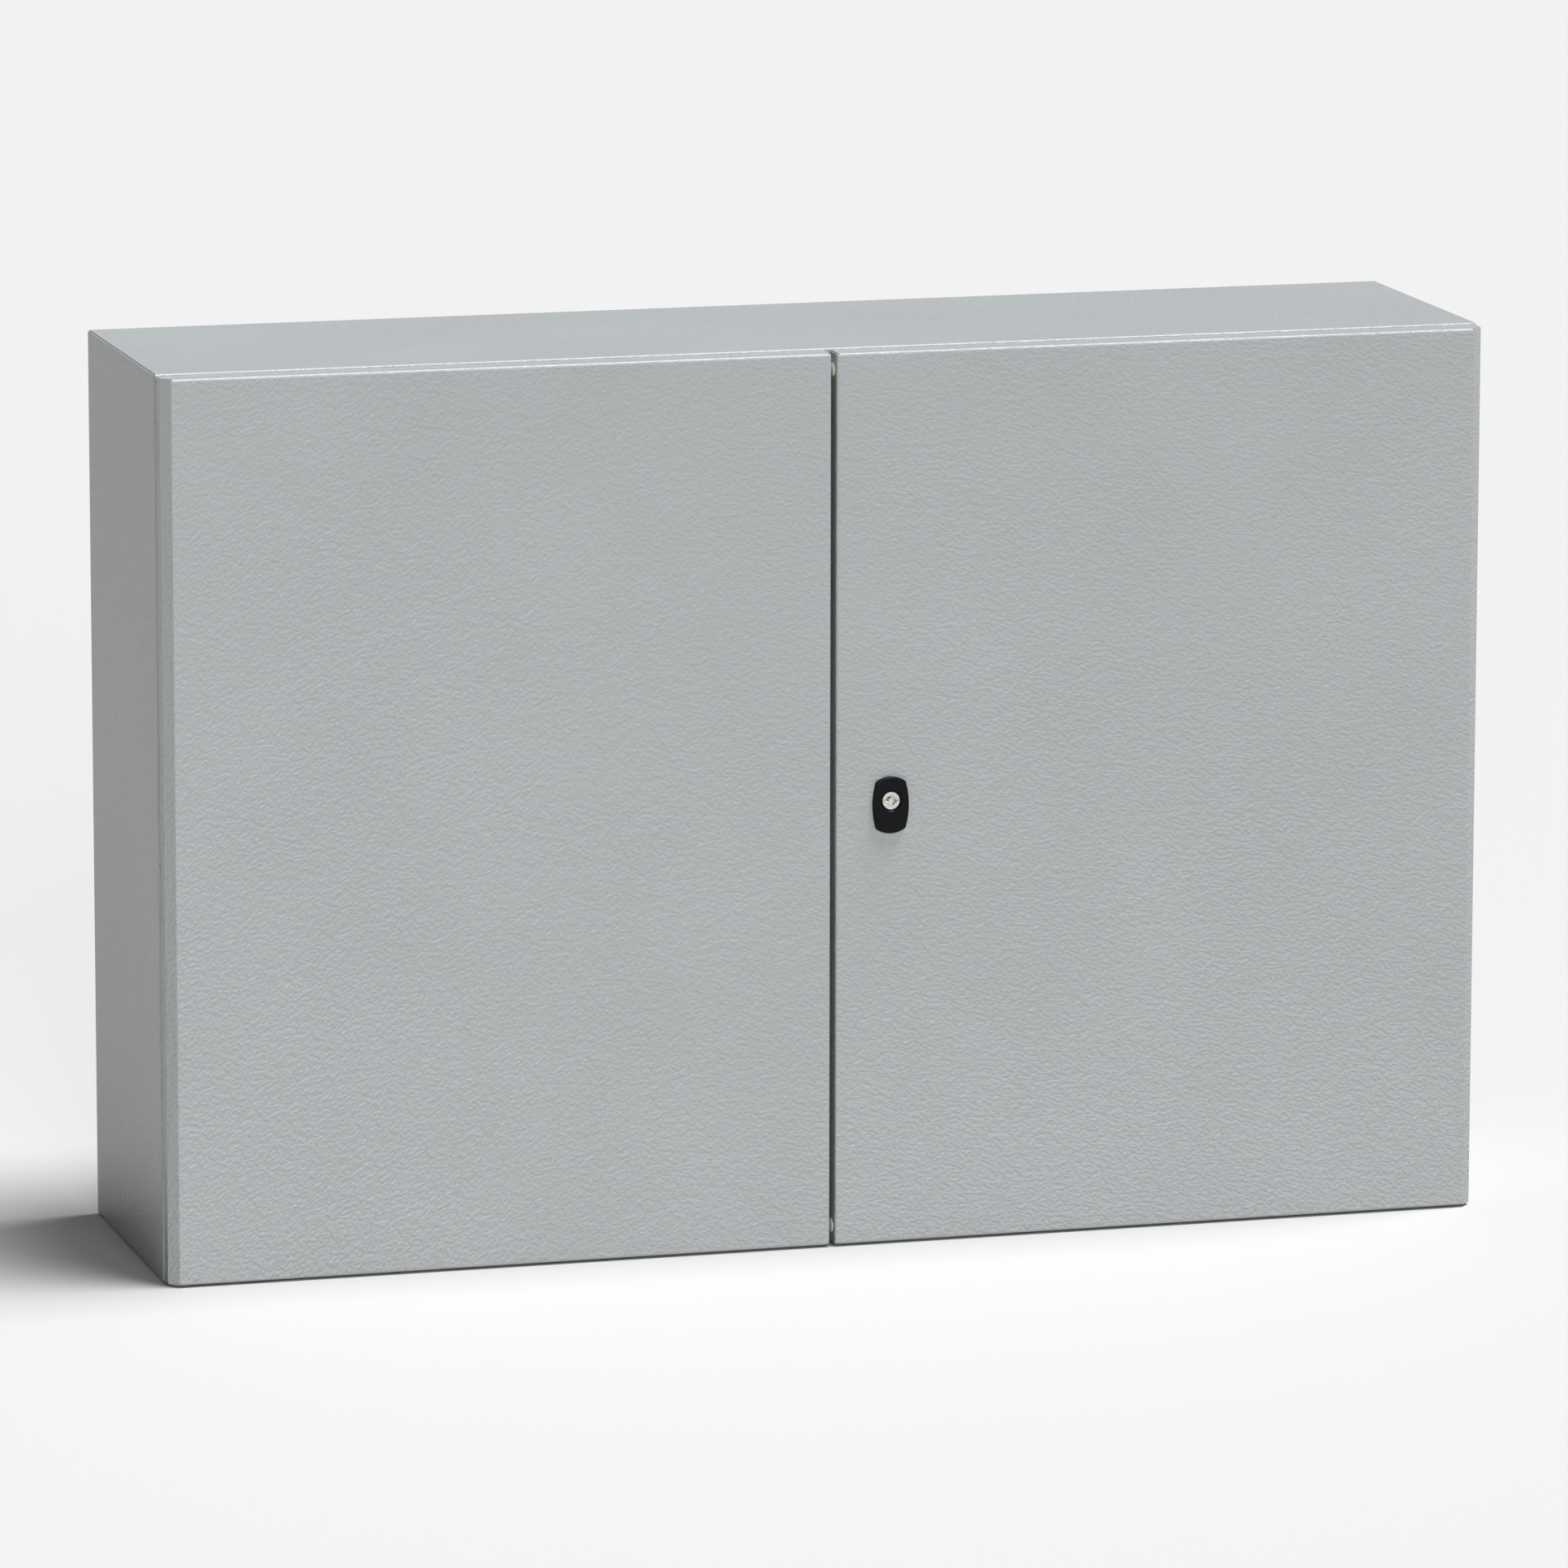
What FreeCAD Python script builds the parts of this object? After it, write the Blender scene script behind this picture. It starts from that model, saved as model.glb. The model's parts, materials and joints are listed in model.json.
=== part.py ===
"""Wall-mounting industrial switchboard cabinet, two doors, 1200 x 800 x 300 mm.

Frame: X to the right, Y towards the wall, Z up, in millimetres.  The origin is the middle of the
cabinet's footprint, on the plane it stands on.  Depths are given as distances from the front face
of the body's flange (FLANGE_Y): minus is towards the doors, plus is into the cabinet.
"""

import FreeCAD
import Part
import math
import os

V = FreeCAD.Vector

# ---------------------------------------------------------------- driving dimensions
WIDTH = 1200.0
HEIGHT = 800.0
BODY_DEPTH = 276.0
DOOR_PROUD = 24.0            # door skin in front of the body's flange
COVER_PROUD = 4.0            # lock cover in front of the door skin
SHEET = 1.5                  # steel sheet of body and doors
BEND = 2.5                   # outer radius of a bend
MID_Z = HEIGHT / 2

BACK_Y = (BODY_DEPTH + DOOR_PROUD + COVER_PROUD) / 2
FLANGE_Y = BACK_Y - BODY_DEPTH

# body: flange round the door opening, and the lip that the door seals press on
FLANGE = 17.0
LIP_REACH = 15.0
HALF_W = WIDTH / 2
LIP_X = HALF_W - FLANGE      # outer face of a side lip
LIP_Z = FLANGE               # outer face of the bottom lip
WELD_STEP = 1.0              # the side sheets stop this far below the roof's outer face

# doors
DOOR_X = HALF_W - 1.0        # outer face of the hinge side
CENTRE_GAP = 4.5             # between the two doors
FREE_X = CENTRE_GAP / 2      # free edge of a door
DOOR_Z = 1.5                 # bottom edge of a door
DOOR_BACK = -2.6             # back edge of the door's returns
BEVEL_X = HALF_W - 10.0      # the 45 degree bevel starts here on the skin
BEVEL_DEPTH = -15.0          # and ends here on the hinge side
BEVEL_BEND = 0.6             # its bends, as a share of the others' radius
SKIN_IN = -DOOR_PROUD + SHEET
SEAL_WIDTH = 10.0
SEAL_CORNER_R = 6.0
SEAL_GAP = 0.3               # between seal and lip, before the door is pressed home

# centre post: U channel behind the meeting edges
POST_LIP_X = FREE_X + 15.0
POST_WEB = SHEET             # front face of the post's web, behind the flange
POST_HALF = POST_LIP_X + SHEET

POST_END = 3.0               # end of the post's web, from the cabinet's end

# centre post screws, M5 pan head, each with a nut
POST_SCREW_X = 10.0
POST_SCREW_Z = 8.5
POST_HOLE_R = 2.6
POST_SCREW_R = 2.5
POST_SCREW_TIP = 4.0         # screw behind the post's web
POST_HEAD_R = 4.5
POST_HEAD_T = 2.2
POST_SLOT = (1.0, 1.1)       # width and depth of the screwdriver slot
POST_NUT_AF = 8.0
POST_NUT_T = 3.0

# open corners of the folded door
CORNER_STEP = (1.2, 1.0)     # width and height of the step along a free corner
CORNER_RELIEF = (2.6, 1.3, 2.6)
BEVEL_STEP = 0.8             # the bevel's ends stop this far inside the door's ends

# hinges
HINGE_X = 593.5
HINGE_Y = -9.5
HINGE_ZS = {"upper": 733.5, "middle": 345.0, "lower": 69.0}
HINGE_HALF = 24.5            # half the height of a bracket
LEAF_HALF = 22.0             # half the height of a leaf
KNUCKLE_R = 3.6
KNUCKLE_HALF = 8.0           # half the height of the bracket's knuckle
KNUCKLE_GAP = 0.3            # between the bracket's knuckle and the leaf's
PIN_R = 2.0
PIN_CLEAR = 0.06
HINGE_SWEEP_R = 9.1          # hollow in the bracket that the door's edge swings through
HINGE_PLATE_T = 2.1
HINGE_FOOT = (4.9, 3.3)      # depth and thickness of the foot on the lip
HINGE_ARM_T = 3.0
HINGE_NECK_T = 0.9           # web of the bracket along the lip
HINGE_SIDE_GAP = 0.2         # bracket inside the cabinet's side
HINGE_PIN_PROUD = 1.0        # pin beyond the leaf
HINGE_SCREW_R = 1.5
HINGE_SCREW_CLEAR = 0.2
HINGE_HEAD_R = 2.75
HINGE_HEAD_T = 2.4
HINGE_SOCKET_AF = 2.5
HINGE_SCREW_Y = -12.1
HINGE_SCREW_DZ = 16.0

# door rails
RAIL_WIDTH = 25.0
RAIL_DEPTH = 12.0
RAIL_IN_X = 85.0             # inner edge of the rail next to the free edge
RAIL_OUT_X = 535.0           # inner edge of the rail next to the hinges
RAIL_END = 40.0
RAIL_PITCH = 25.0
RAIL_HOLE_R = 2.75

# mounting plate and its fixings
PLATE_HALF_W = 575.0
PLATE_Z = 25.0
PLATE_T = 2.5
PLATE_CORNER = 35.0
STUD_X = 550.0
STUD_Z = 50.0
STUD_R = 4.0
STUD_CLEAR = 0.3
SEAT_R = 12.0                # round seat pressed back into the plate under each washer
SEAT_DEPTH = 1.5
SPACER_LENGTH = 17.0
SPACER_R = 8.0
WASHER_R = 8.5
WASHER_T = 1.6
NUT_T = 6.5
NUT_AF = 13.0
STUD_LENGTH = 34.5
BACK_IN = BODY_DEPTH - SHEET
SEAT_FRONT = BACK_IN - SPACER_LENGTH - PLATE_T
PLATE_FRONT = SEAT_FRONT - SEAT_DEPTH

# wall fixing holes
WALL_X = 570.0
WALL_Z = 30.0
WALL_HOLE_R = 4.25

# gland plates in the bottom
GLAND_X = (90.0, 510.0)
GLAND_Y = (70.0, 210.0)
GLAND_SEAL = 2.5
GLAND_PLATE_T = 1.5
GLAND_STUD_R = 3.0
GLAND_STUD_LENGTH = 14.5
GLAND_NUT_AF = 10.0
GLAND_NUT_T = 5.0
GLAND_RIM = 18.0             # plate beyond the cut-out
GLAND_CORNER_R = 8.0
GLAND_CUT_R = 6.0
GLAND_SEAL_INSET = 2.0       # seal behind the cut-out's edge
GLAND_STUD_CLEAR = 0.3

# lock cover: barrel-shaped plate with a round window
LOCK_X = 52.0
LOCK_Z = MID_Z
COVER_Z = LOCK_Z - 4.0
COVER_CORNER = (13.4, 20.9)  # its corners, from its middle
COVER_BULGE = (16.4, 25.3)   # the middles of its sides
COVER_CORNER_R = 3.0
COVER_RIM_R = 1.6
WINDOW_R = 8.75
WINDOW_FUNNEL = 1.2          # the window widens by this at the front, over the same depth
COVER_POCKET_R = 12.8
COVER_FACE_T = 1.2           # plastic in front of the housing's collar
COVER_MARK = (1.0, -19.0, 0.7, 0.6)      # X and Z from the middle, radius and depth

# lock housing and insert
HOUSING_R = 10.0
HOUSING_FIT = 0.25           # round the housing in the door's hole
HOUSING_END = -4.0
HOUSING_WALL = -6.0          # front of the wall that the spindle passes
COLLAR_R = 12.5
COLLAR_T = 2.6
THROAT_R = 5.9
LOCK_NUT_AF = 27.0
LOCK_NUT_T = 5.0
INSERT_R = 7.75
INSERT_CLEAR = 0.08
INSERT_FRONT = -DOOR_PROUD - 3.2
INSERT_END = -6.2
SOCKET_R = 4.6
SOCKET_DEPTH = 12.0
SOCKET_PIN_R = 2.3
SOCKET_PIN_SUNK = 0.6
BIT = (6.9, 1.5)             # reach and half height of the slots for the key's bits
SPINDLE = 8.0                # width of the square spindle
SPINDLE_CLEAR = 0.05

# cam, its screw and the crank pins
CAM_Y = (3.8, 6.8)
CAM_LENGTH = 46.0
CAM_WIDTH = 16.0
CAM_DISC_R = 18.5
CRANK = 14.0                 # pins that drive the rods, from the lock's axis
CRANK_ANGLES = (-45, 135)    # where the pins stand while the lock is open
CRANK_PIN_R = 2.5
CRANK_PIN_PROUD = 0.8        # pin behind the rod's plate
CRANK_PLAY = 0.8             # between crank pin and slot
CAM_SCREW_R = 2.0
CAM_SCREW_TIP = -2.5
CAM_WASHER = (4.6, 0.8)      # radius and thickness of the screw's flange
CAM_HEAD = (7.0, 2.8)        # across flats and height

# rods and their guides
ROD_PLATE_Y = (7.2, 10.2)
ROD_PLATE_HALF = 6.9
ROD_PLATE_LOW = 7.5          # plate below the crank pin
ROD_PLATE_TOP = 60.0         # plate and bar overlap above the lock's axis
ROD_BAR_LOW = 55.0
ROD_CORNER_R = 3.0
ROD_SLOT_HALF = 5.0
ROD_R = 4.0
ROD_Y = 8.7
ROD_OFFSET = 12.0            # rod's axis from the lock's axis
ROD_TIP = 775.0              # top of the upper rod when drawn back
ROD_TAPER = (1.6, 2.0)       # the tip narrows by this, over this length
GUIDE_Z = 728.0              # underside of the upper rod guide
GUIDE_HEIGHT = 26.0
GUIDE_HALF = 10.0
GUIDE_EDGE = 4.0             # sheet beyond a guided rod or bolt
SLIDE_GAP = 0.3              # round a rod or a bolt in its guide

# slide bolts of the second door
BOLT_X = -64.0
BOLT_Y = (4.7, 8.7)
BOLT_WIDTH = 16.0
BOLT_TIP = 775.0
BOLT_TIP_R = 4.0
BOLT_START = 665.0
BOLT_START_R = 2.0
BOLT_BRACKET_Z = (700.0, 740.0)
KNOB_Z = 671.0
KNOB_NECK = (4.0, 4.0)       # radius and length
KNOB_HEAD = (7.0, 8.0)

# earth studs
EARTH_X = -565.0
EARTH_Y = 40.0
EARTH_FOOT_T = 6.0
EARTH_LENGTH = 17.0
DOOR_EARTH_X = 505.0
DOOR_EARTH_Z = 120.0
DOOR_EARTH_AF = 10.0
DOOR_EARTH_FOOT_T = 4.0
DOOR_EARTH_R = 3.0
DOOR_EARTH_LENGTH = 18.0

# plugs in the doors' free edges
PLUG_R = 6.25
PLUG_Y = -12.0
PLUG_Z = 17.0
PLUG_RIM = 0.5               # cylindrical part of the head
PLUG_DOME = 0.7              # and the dome on it
PLUG_DOME_R = 4.25
PLUG_NECK_R = 4.45
PLUG_CLIP_R = (5.05, 3.65)
PLUG_CLIP = 2.5

OVER = 1.0                   # cutting tools run past a face by this


# ---------------------------------------------------------------- helpers
def y_at(depth):
    """The Y of a depth that is measured from the flange's front face."""
    return FLANGE_Y + depth


def box(x0, x1, y0, y1, z0, z1):
    """A box between two X, two depths and two Z."""
    low = V(min(x0, x1), y_at(min(y0, y1)), min(z0, z1))
    return Part.makeBox(abs(x1 - x0), abs(y1 - y0), abs(z1 - z0), low)


def rod_y(x, z, r, y0, y1):
    """A cylinder along Y between two depths."""
    return Part.makeCylinder(r, y1 - y0, V(x, y_at(y0), z), V(0, 1, 0))


def rod_z(x, y, r, z0, z1):
    """A cylinder along Z."""
    return Part.makeCylinder(r, z1 - z0, V(x, y_at(y), z0), V(0, 0, 1))


def rod_x(y, z, r, x0, x1):
    """A cylinder along X."""
    return Part.makeCylinder(r, x1 - x0, V(x0, y_at(y), z), V(1, 0, 0))


def cone_x(y, z, r0, r1, x0, x1):
    """A cone frustum along X, of radius r0 at x0 and r1 at x1."""
    if x1 > x0:
        return Part.makeCone(r0, r1, x1 - x0, V(x0, y_at(y), z), V(1, 0, 0))
    return Part.makeCone(r0, r1, x0 - x1, V(x0, y_at(y), z), V(-1, 0, 0))


def join(shapes):
    """One shape from several that touch or overlap."""
    first, rest = shapes[0], shapes[1:]
    return first.multiFuse(rest).removeSplitter() if rest else first


def group(shapes):
    """Separate solids kept together in one node."""
    return Part.makeCompound(shapes)


def rounded_face(corners, place):
    """A face from (u, v, radius) corners; place turns (u, v) into a vector."""
    count = len(corners)
    spans = []
    for i, (u, v, r) in enumerate(corners):
        here = V(u, v, 0)
        before = V(*corners[i - 1][:2], 0) - here
        after = V(*corners[(i + 1) % count][:2], 0) - here
        before.normalize()
        after.normalize()
        if r == 0:
            spans.append((here, None, here))
            continue
        half = before.getAngle(after) / 2
        reach = r / math.tan(half)
        bisector = (before + after).normalize()
        middle = here + bisector * (r / math.sin(half) - r)
        spans.append((here + before * reach, middle, here + after * reach))
    edges = []
    for i, (start, middle, end) in enumerate(spans):
        if middle is not None:
            arc = [place(p.x, p.y) for p in (start, middle, end)]
            edges.append(Part.Arc(*arc).toShape())
        following = spans[(i + 1) % count][0]
        if (following - end).Length > 1e-6:
            edges.append(Part.makeLine(place(end.x, end.y), place(following.x, following.y)))
    return Part.Face(Part.Wire(edges))


def prism_z(corners, z0, z1):
    """(x, depth, radius) corners, extruded from z0 to z1."""
    face = rounded_face(corners, lambda x, y: V(x, y_at(y), z0))
    return face.extrude(V(0, 0, z1 - z0))


def prism_x(corners, x0, x1):
    """(depth, z, radius) corners, extruded from x0 to x1."""
    face = rounded_face(corners, lambda y, z: V(x0, y_at(y), z))
    return face.extrude(V(x1 - x0, 0, 0))


def prism_y(corners, y0, y1):
    """(x, z, radius) corners, extruded between two depths."""
    face = rounded_face(corners, lambda x, z: V(x, y_at(y0), z))
    return face.extrude(V(0, y1 - y0, 0))


def bent_section(path, inward):
    """Corners of a bent strip's section.  path runs along one face, inward is the side (+1 left,
    -1 right of the path) that the sheet lies on."""
    near = []
    far = []
    for i, (u, v) in enumerate(path):
        ends = []
        if i > 0:
            ends.append(V(u - path[i - 1][0], v - path[i - 1][1], 0).normalize())
        if i < len(path) - 1:
            ends.append(V(path[i + 1][0] - u, path[i + 1][1] - v, 0).normalize())
        normals = [V(-d.y, d.x, 0) * inward for d in ends]
        if len(ends) == 1:
            offset = normals[0] * SHEET
            radii = (0, 0)
        else:
            offset = (normals[0] + normals[1]) * SHEET
            turns_in = ends[0].cross(ends[1]).z * inward > 0
            radii = (BEND, BEND - SHEET) if turns_in else (BEND - SHEET, BEND)
        near.append((u, v, radii[0]))
        far.append((u + offset.x, v + offset.y, radii[1]))
    return near + far[::-1]


def mirror_x(shape):
    """The same piece on the other side of the cabinet."""
    return shape.mirror(V(0, 0, 0), V(1, 0, 0))


def mirror_z(shape):
    """The same piece at the other end of the cabinet's height."""
    return shape.mirror(V(0, 0, MID_Z), V(0, 0, 1))


def hexagon(x, y, z, across_flats, thickness, axis, chamfer=0.6):
    """A hexagonal prism that starts at (x, y, z), runs along axis and has its far corners
    taken off."""
    radius = across_flats / math.sqrt(3)
    points = [
        V(radius * math.cos(k * math.pi / 3), radius * math.sin(k * math.pi / 3), 0)
        for k in range(6)
    ]
    prism = Part.Face(Part.makePolygon(points + points[:1])).extrude(V(0, 0, thickness))
    cone = Part.makeCone(radius - chamfer + thickness, radius - chamfer, thickness)
    nut = prism.common(cone)
    nut.Placement = FreeCAD.Placement(
        V(x, y_at(y), z), FreeCAD.Rotation(V(0, 0, 1), V(*axis))
    ).multiply(nut.Placement)
    return nut


def chamfered_stud(x, y, z, r, length, axis, tip=0.8):
    """A stud with a chamfered tip."""
    direction = V(*axis)
    start = V(x, y_at(y), z)
    shank = Part.makeCylinder(r, length - tip, start, direction)
    end = Part.makeCone(r, r - tip, tip, start + direction * (length - tip), direction)
    return shank.fuse(end).removeSplitter()


def both_sides(shape):
    """A piece and its twins mirrored in X."""
    return [shape, mirror_x(shape)]


def four_corners(shape):
    """A piece and its twins mirrored in X and in Z."""
    pair = both_sides(shape)
    return pair + [mirror_z(s) for s in pair]


def save(name, shape):
    """Writes one sub-part."""
    shape.exportStep("parts/%s.step" % name)


# ---------------------------------------------------------------- body
def top_panel():
    """Roof sheet, folded down into the flange and forward into the lip."""
    path = [
        (BODY_DEPTH, HEIGHT),
        (0, HEIGHT),
        (0, HEIGHT - FLANGE),
        (-LIP_REACH, HEIGHT - FLANGE),
    ]
    sheet = prism_x(bent_section(path, +1), -HALF_W + SHEET, HALF_W - SHEET)
    corner = box(LIP_X, HALF_W, -LIP_REACH - 1, 2 * BEND, MID_Z, HEIGHT - FLANGE)
    lip_end = box(LIP_X, HALF_W, -LIP_REACH - 1, 0, MID_Z, HEIGHT)
    centre = box(-POST_LIP_X, POST_LIP_X, -LIP_REACH - 1, 0, MID_Z, HEIGHT)
    for waste in both_sides(corner) + both_sides(lip_end) + [centre]:
        sheet = sheet.cut(waste)
    for x in (-POST_SCREW_X, POST_SCREW_X):
        sheet = sheet.cut(rod_y(x, HEIGHT - POST_SCREW_Z, POST_HOLE_R, -OVER, SHEET + OVER))
    return sheet


def bottom_panel():
    """Floor sheet: the roof's twin, with two cut-outs for the gland plates."""
    sheet = mirror_z(top_panel())
    for side in (-1, 1):
        cutout = prism_z(
            [
                (side * GLAND_X[0], GLAND_Y[0], GLAND_CUT_R),
                (side * GLAND_X[1], GLAND_Y[0], GLAND_CUT_R),
                (side * GLAND_X[1], GLAND_Y[1], GLAND_CUT_R),
                (side * GLAND_X[0], GLAND_Y[1], GLAND_CUT_R),
            ],
            -OVER,
            SHEET + OVER,
        )
        sheet = sheet.cut(cutout)
    return sheet


def left_side_panel():
    """Side sheet, folded inwards into the flange and forward into the lip."""
    path = [
        (-HALF_W, BODY_DEPTH),
        (-HALF_W, 0),
        (-LIP_X, 0),
        (-LIP_X, -LIP_REACH),
    ]
    sheet = prism_z(bent_section(path, +1), WELD_STEP, HEIGHT - WELD_STEP)
    edge = HALF_W - SHEET
    corner = box(-edge, -LIP_X + 5, -LIP_REACH - 1, 2 * BEND, HEIGHT - FLANGE, HEIGHT)
    lip_end = box(-LIP_X, -LIP_X + 5, -LIP_REACH - 1, 2 * BEND, HEIGHT - FLANGE - SHEET, HEIGHT)
    for waste in (corner, lip_end, mirror_z(corner), mirror_z(lip_end)):
        sheet = sheet.cut(waste)
    hole_r = HINGE_SCREW_R + HINGE_SCREW_CLEAR
    for z in hinge_screws_at():
        sheet = sheet.cut(rod_x(HINGE_SCREW_Y, z, hole_r, -LIP_X - OVER, -LIP_X + SHEET + OVER))
    return sheet


def back_panel():
    """Back sheet with four wall fixing holes."""
    edge = HALF_W - SHEET
    sheet = box(-edge, edge, BACK_IN, BODY_DEPTH, SHEET, HEIGHT - SHEET)
    for hole in four_corners(rod_y(WALL_X, WALL_Z, WALL_HOLE_R, BACK_IN - 1, BODY_DEPTH + 1)):
        sheet = sheet.cut(hole)
    return sheet


def centre_post():
    """U channel that both doors close on; its web ends lie behind the flange."""
    back = POST_WEB + SHEET
    path = [(-POST_HALF, -LIP_REACH), (-POST_HALF, back), (POST_HALF, back), (POST_HALF, -LIP_REACH)]
    post = prism_z(bent_section(path, -1), POST_END, HEIGHT - POST_END)
    lip_end = box(-POST_HALF - 1, POST_HALF + 1, -LIP_REACH - 1, POST_WEB, 0, LIP_Z + SHEET)
    post = post.cut(lip_end).cut(mirror_z(lip_end))
    for x in (-POST_SCREW_X, POST_SCREW_X):
        for z in (POST_SCREW_Z, HEIGHT - POST_SCREW_Z):
            post = post.cut(rod_y(x, z, POST_HOLE_R, POST_WEB - OVER, back + OVER))
    return post


def centre_post_screws():
    """Pan-head screws through flange and post, with a nut behind."""
    x, z = POST_SCREW_X, POST_SCREW_Z
    behind = POST_WEB + SHEET
    width, depth = POST_SLOT
    shank = rod_y(x, z, POST_SCREW_R, -POST_HEAD_T / 2, behind + POST_SCREW_TIP)
    head = rod_y(x, z, POST_HEAD_R, -POST_HEAD_T, 0)
    nut = hexagon(x, behind, z, POST_NUT_AF, POST_NUT_T, (0, 1, 0))
    slot = box(
        x - POST_HEAD_R - OVER,
        x + POST_HEAD_R + OVER,
        -POST_HEAD_T - OVER,
        -POST_HEAD_T + depth,
        z - width / 2,
        z + width / 2,
    )
    return group(four_corners(join([shank, head, nut]).cut(slot)))


# ---------------------------------------------------------------- mounting plate
def mounting_plate():
    """Flat steel plate with cut corners, so that the wall bolts can be reached, and with a seat
    pressed back round each stud, so that nuts and washers sink into it."""
    top = HEIGHT - PLATE_Z
    c = PLATE_CORNER
    w = PLATE_HALF_W
    corners = [
        (-w + c, PLATE_Z, 0),
        (w - c, PLATE_Z, 0),
        (w, PLATE_Z + c, 0),
        (w, top - c, 0),
        (w - c, top, 0),
        (-w + c, top, 0),
        (-w, top - c, 0),
        (-w, PLATE_Z + c, 0),
    ]
    plate = prism_y(corners, PLATE_FRONT, PLATE_FRONT + PLATE_T)
    boss = rod_y(STUD_X, STUD_Z, SEAT_R + PLATE_T / 2, PLATE_FRONT + PLATE_T / 2, SEAT_FRONT + PLATE_T)
    seat = rod_y(STUD_X, STUD_Z, SEAT_R, PLATE_FRONT - OVER, SEAT_FRONT)
    hole = rod_y(STUD_X, STUD_Z, STUD_R + STUD_CLEAR, PLATE_FRONT - OVER, BACK_IN)
    plate = join([plate] + four_corners(boss))
    for waste in four_corners(seat) + four_corners(hole):
        plate = plate.cut(waste)
    return plate


def mounting_plate_studs():
    """Threaded studs welded to the back sheet."""
    return group(
        four_corners(chamfered_stud(STUD_X, BACK_IN, STUD_Z, STUD_R, STUD_LENGTH, (0, -1, 0)))
    )


def ring_y(x, z, r_out, r_in, y0, y1):
    """A ring along Y."""
    return rod_y(x, z, r_out, y0, y1).cut(rod_y(x, z, r_in, y0 - OVER, y1 + OVER))


def mounting_plate_spacers():
    """Tubes between back sheet and mounting plate."""
    start = BACK_IN - SPACER_LENGTH
    tube = ring_y(STUD_X, STUD_Z, SPACER_R, STUD_R + STUD_CLEAR, start, BACK_IN)
    return group(four_corners(tube))


def mounting_plate_washers():
    """Washers in the mounting plate's seats."""
    front = SEAT_FRONT - WASHER_T
    washer = ring_y(STUD_X, STUD_Z, WASHER_R, STUD_R + STUD_CLEAR, front, SEAT_FRONT)
    return group(four_corners(washer))


def mounting_plate_nuts():
    """Nuts on the mounting plate's studs."""
    base = SEAT_FRONT - WASHER_T
    nut = hexagon(STUD_X, base, STUD_Z, NUT_AF, NUT_T, (0, -1, 0))
    nut = nut.cut(rod_y(STUD_X, STUD_Z, STUD_R, base - NUT_T - OVER, base + OVER))
    return group(four_corners(nut))


# ---------------------------------------------------------------- gland plates
def gland_studs_at():
    """Positions of the studs round one gland cut-out."""
    span = (GLAND_X[1] - GLAND_X[0] + GLAND_RIM) / 3
    xs = [GLAND_X[0] - GLAND_RIM / 2 + k * span for k in range(4)]
    return [(x, y) for x in xs for y in (GLAND_Y[0] - GLAND_RIM / 2, GLAND_Y[1] + GLAND_RIM / 2)]


def gland_outline(rim, z0, z1):
    """A rounded rectangle that reaches rim past the cut-out."""
    x0, x1 = GLAND_X[0] - rim, GLAND_X[1] + rim
    y0, y1 = GLAND_Y[0] - rim, GLAND_Y[1] + rim
    return prism_z([(x, y, GLAND_CORNER_R) for x, y in ((x0, y0), (x1, y0), (x1, y1), (x0, y1))], z0, z1)


def drilled_for_gland_studs(shape, z0, z1):
    """The shape with a clearance hole at every gland stud."""
    for x, y in gland_studs_at():
        shape = shape.cut(rod_z(x, y, GLAND_STUD_R + GLAND_STUD_CLEAR, z0 - OVER, z1 + OVER))
    return shape


def gland_gasket():
    """Flat sealing frame under a gland plate."""
    z0, z1 = SHEET, SHEET + GLAND_SEAL
    frame = gland_outline(GLAND_RIM, z0, z1)
    frame = frame.cut(gland_outline(GLAND_SEAL_INSET, z0 - OVER, z1 + OVER))
    return drilled_for_gland_studs(frame, z0, z1)


def gland_plate():
    """Blank plate that closes a cut-out from inside."""
    z0 = SHEET + GLAND_SEAL
    z1 = z0 + GLAND_PLATE_T
    return drilled_for_gland_studs(gland_outline(GLAND_RIM, z0, z1), z0, z1)


def gland_plate_studs():
    """Studs welded to the floor sheet."""
    studs = []
    for x, y in gland_studs_at():
        stud = chamfered_stud(x, y, SHEET, GLAND_STUD_R, GLAND_STUD_LENGTH, (0, 0, 1))
        studs += both_sides(stud)
    return group(studs)


def gland_plate_nuts():
    """Nuts that hold the gland plates down."""
    z0 = SHEET + GLAND_SEAL + GLAND_PLATE_T
    nuts = []
    for x, y in gland_studs_at():
        nut = hexagon(x, y, z0, GLAND_NUT_AF, GLAND_NUT_T, (0, 0, 1))
        nut = nut.cut(rod_z(x, y, GLAND_STUD_R, z0 - OVER, z0 + GLAND_NUT_T + OVER))
        nuts += both_sides(nut)
    return group(nuts)


# ---------------------------------------------------------------- hinges
def hinge_screws_at():
    """Heights of all hinge screws."""
    return [z + dz for z in HINGE_ZS.values() for dz in (-HINGE_SCREW_DZ, HINGE_SCREW_DZ)]


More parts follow.
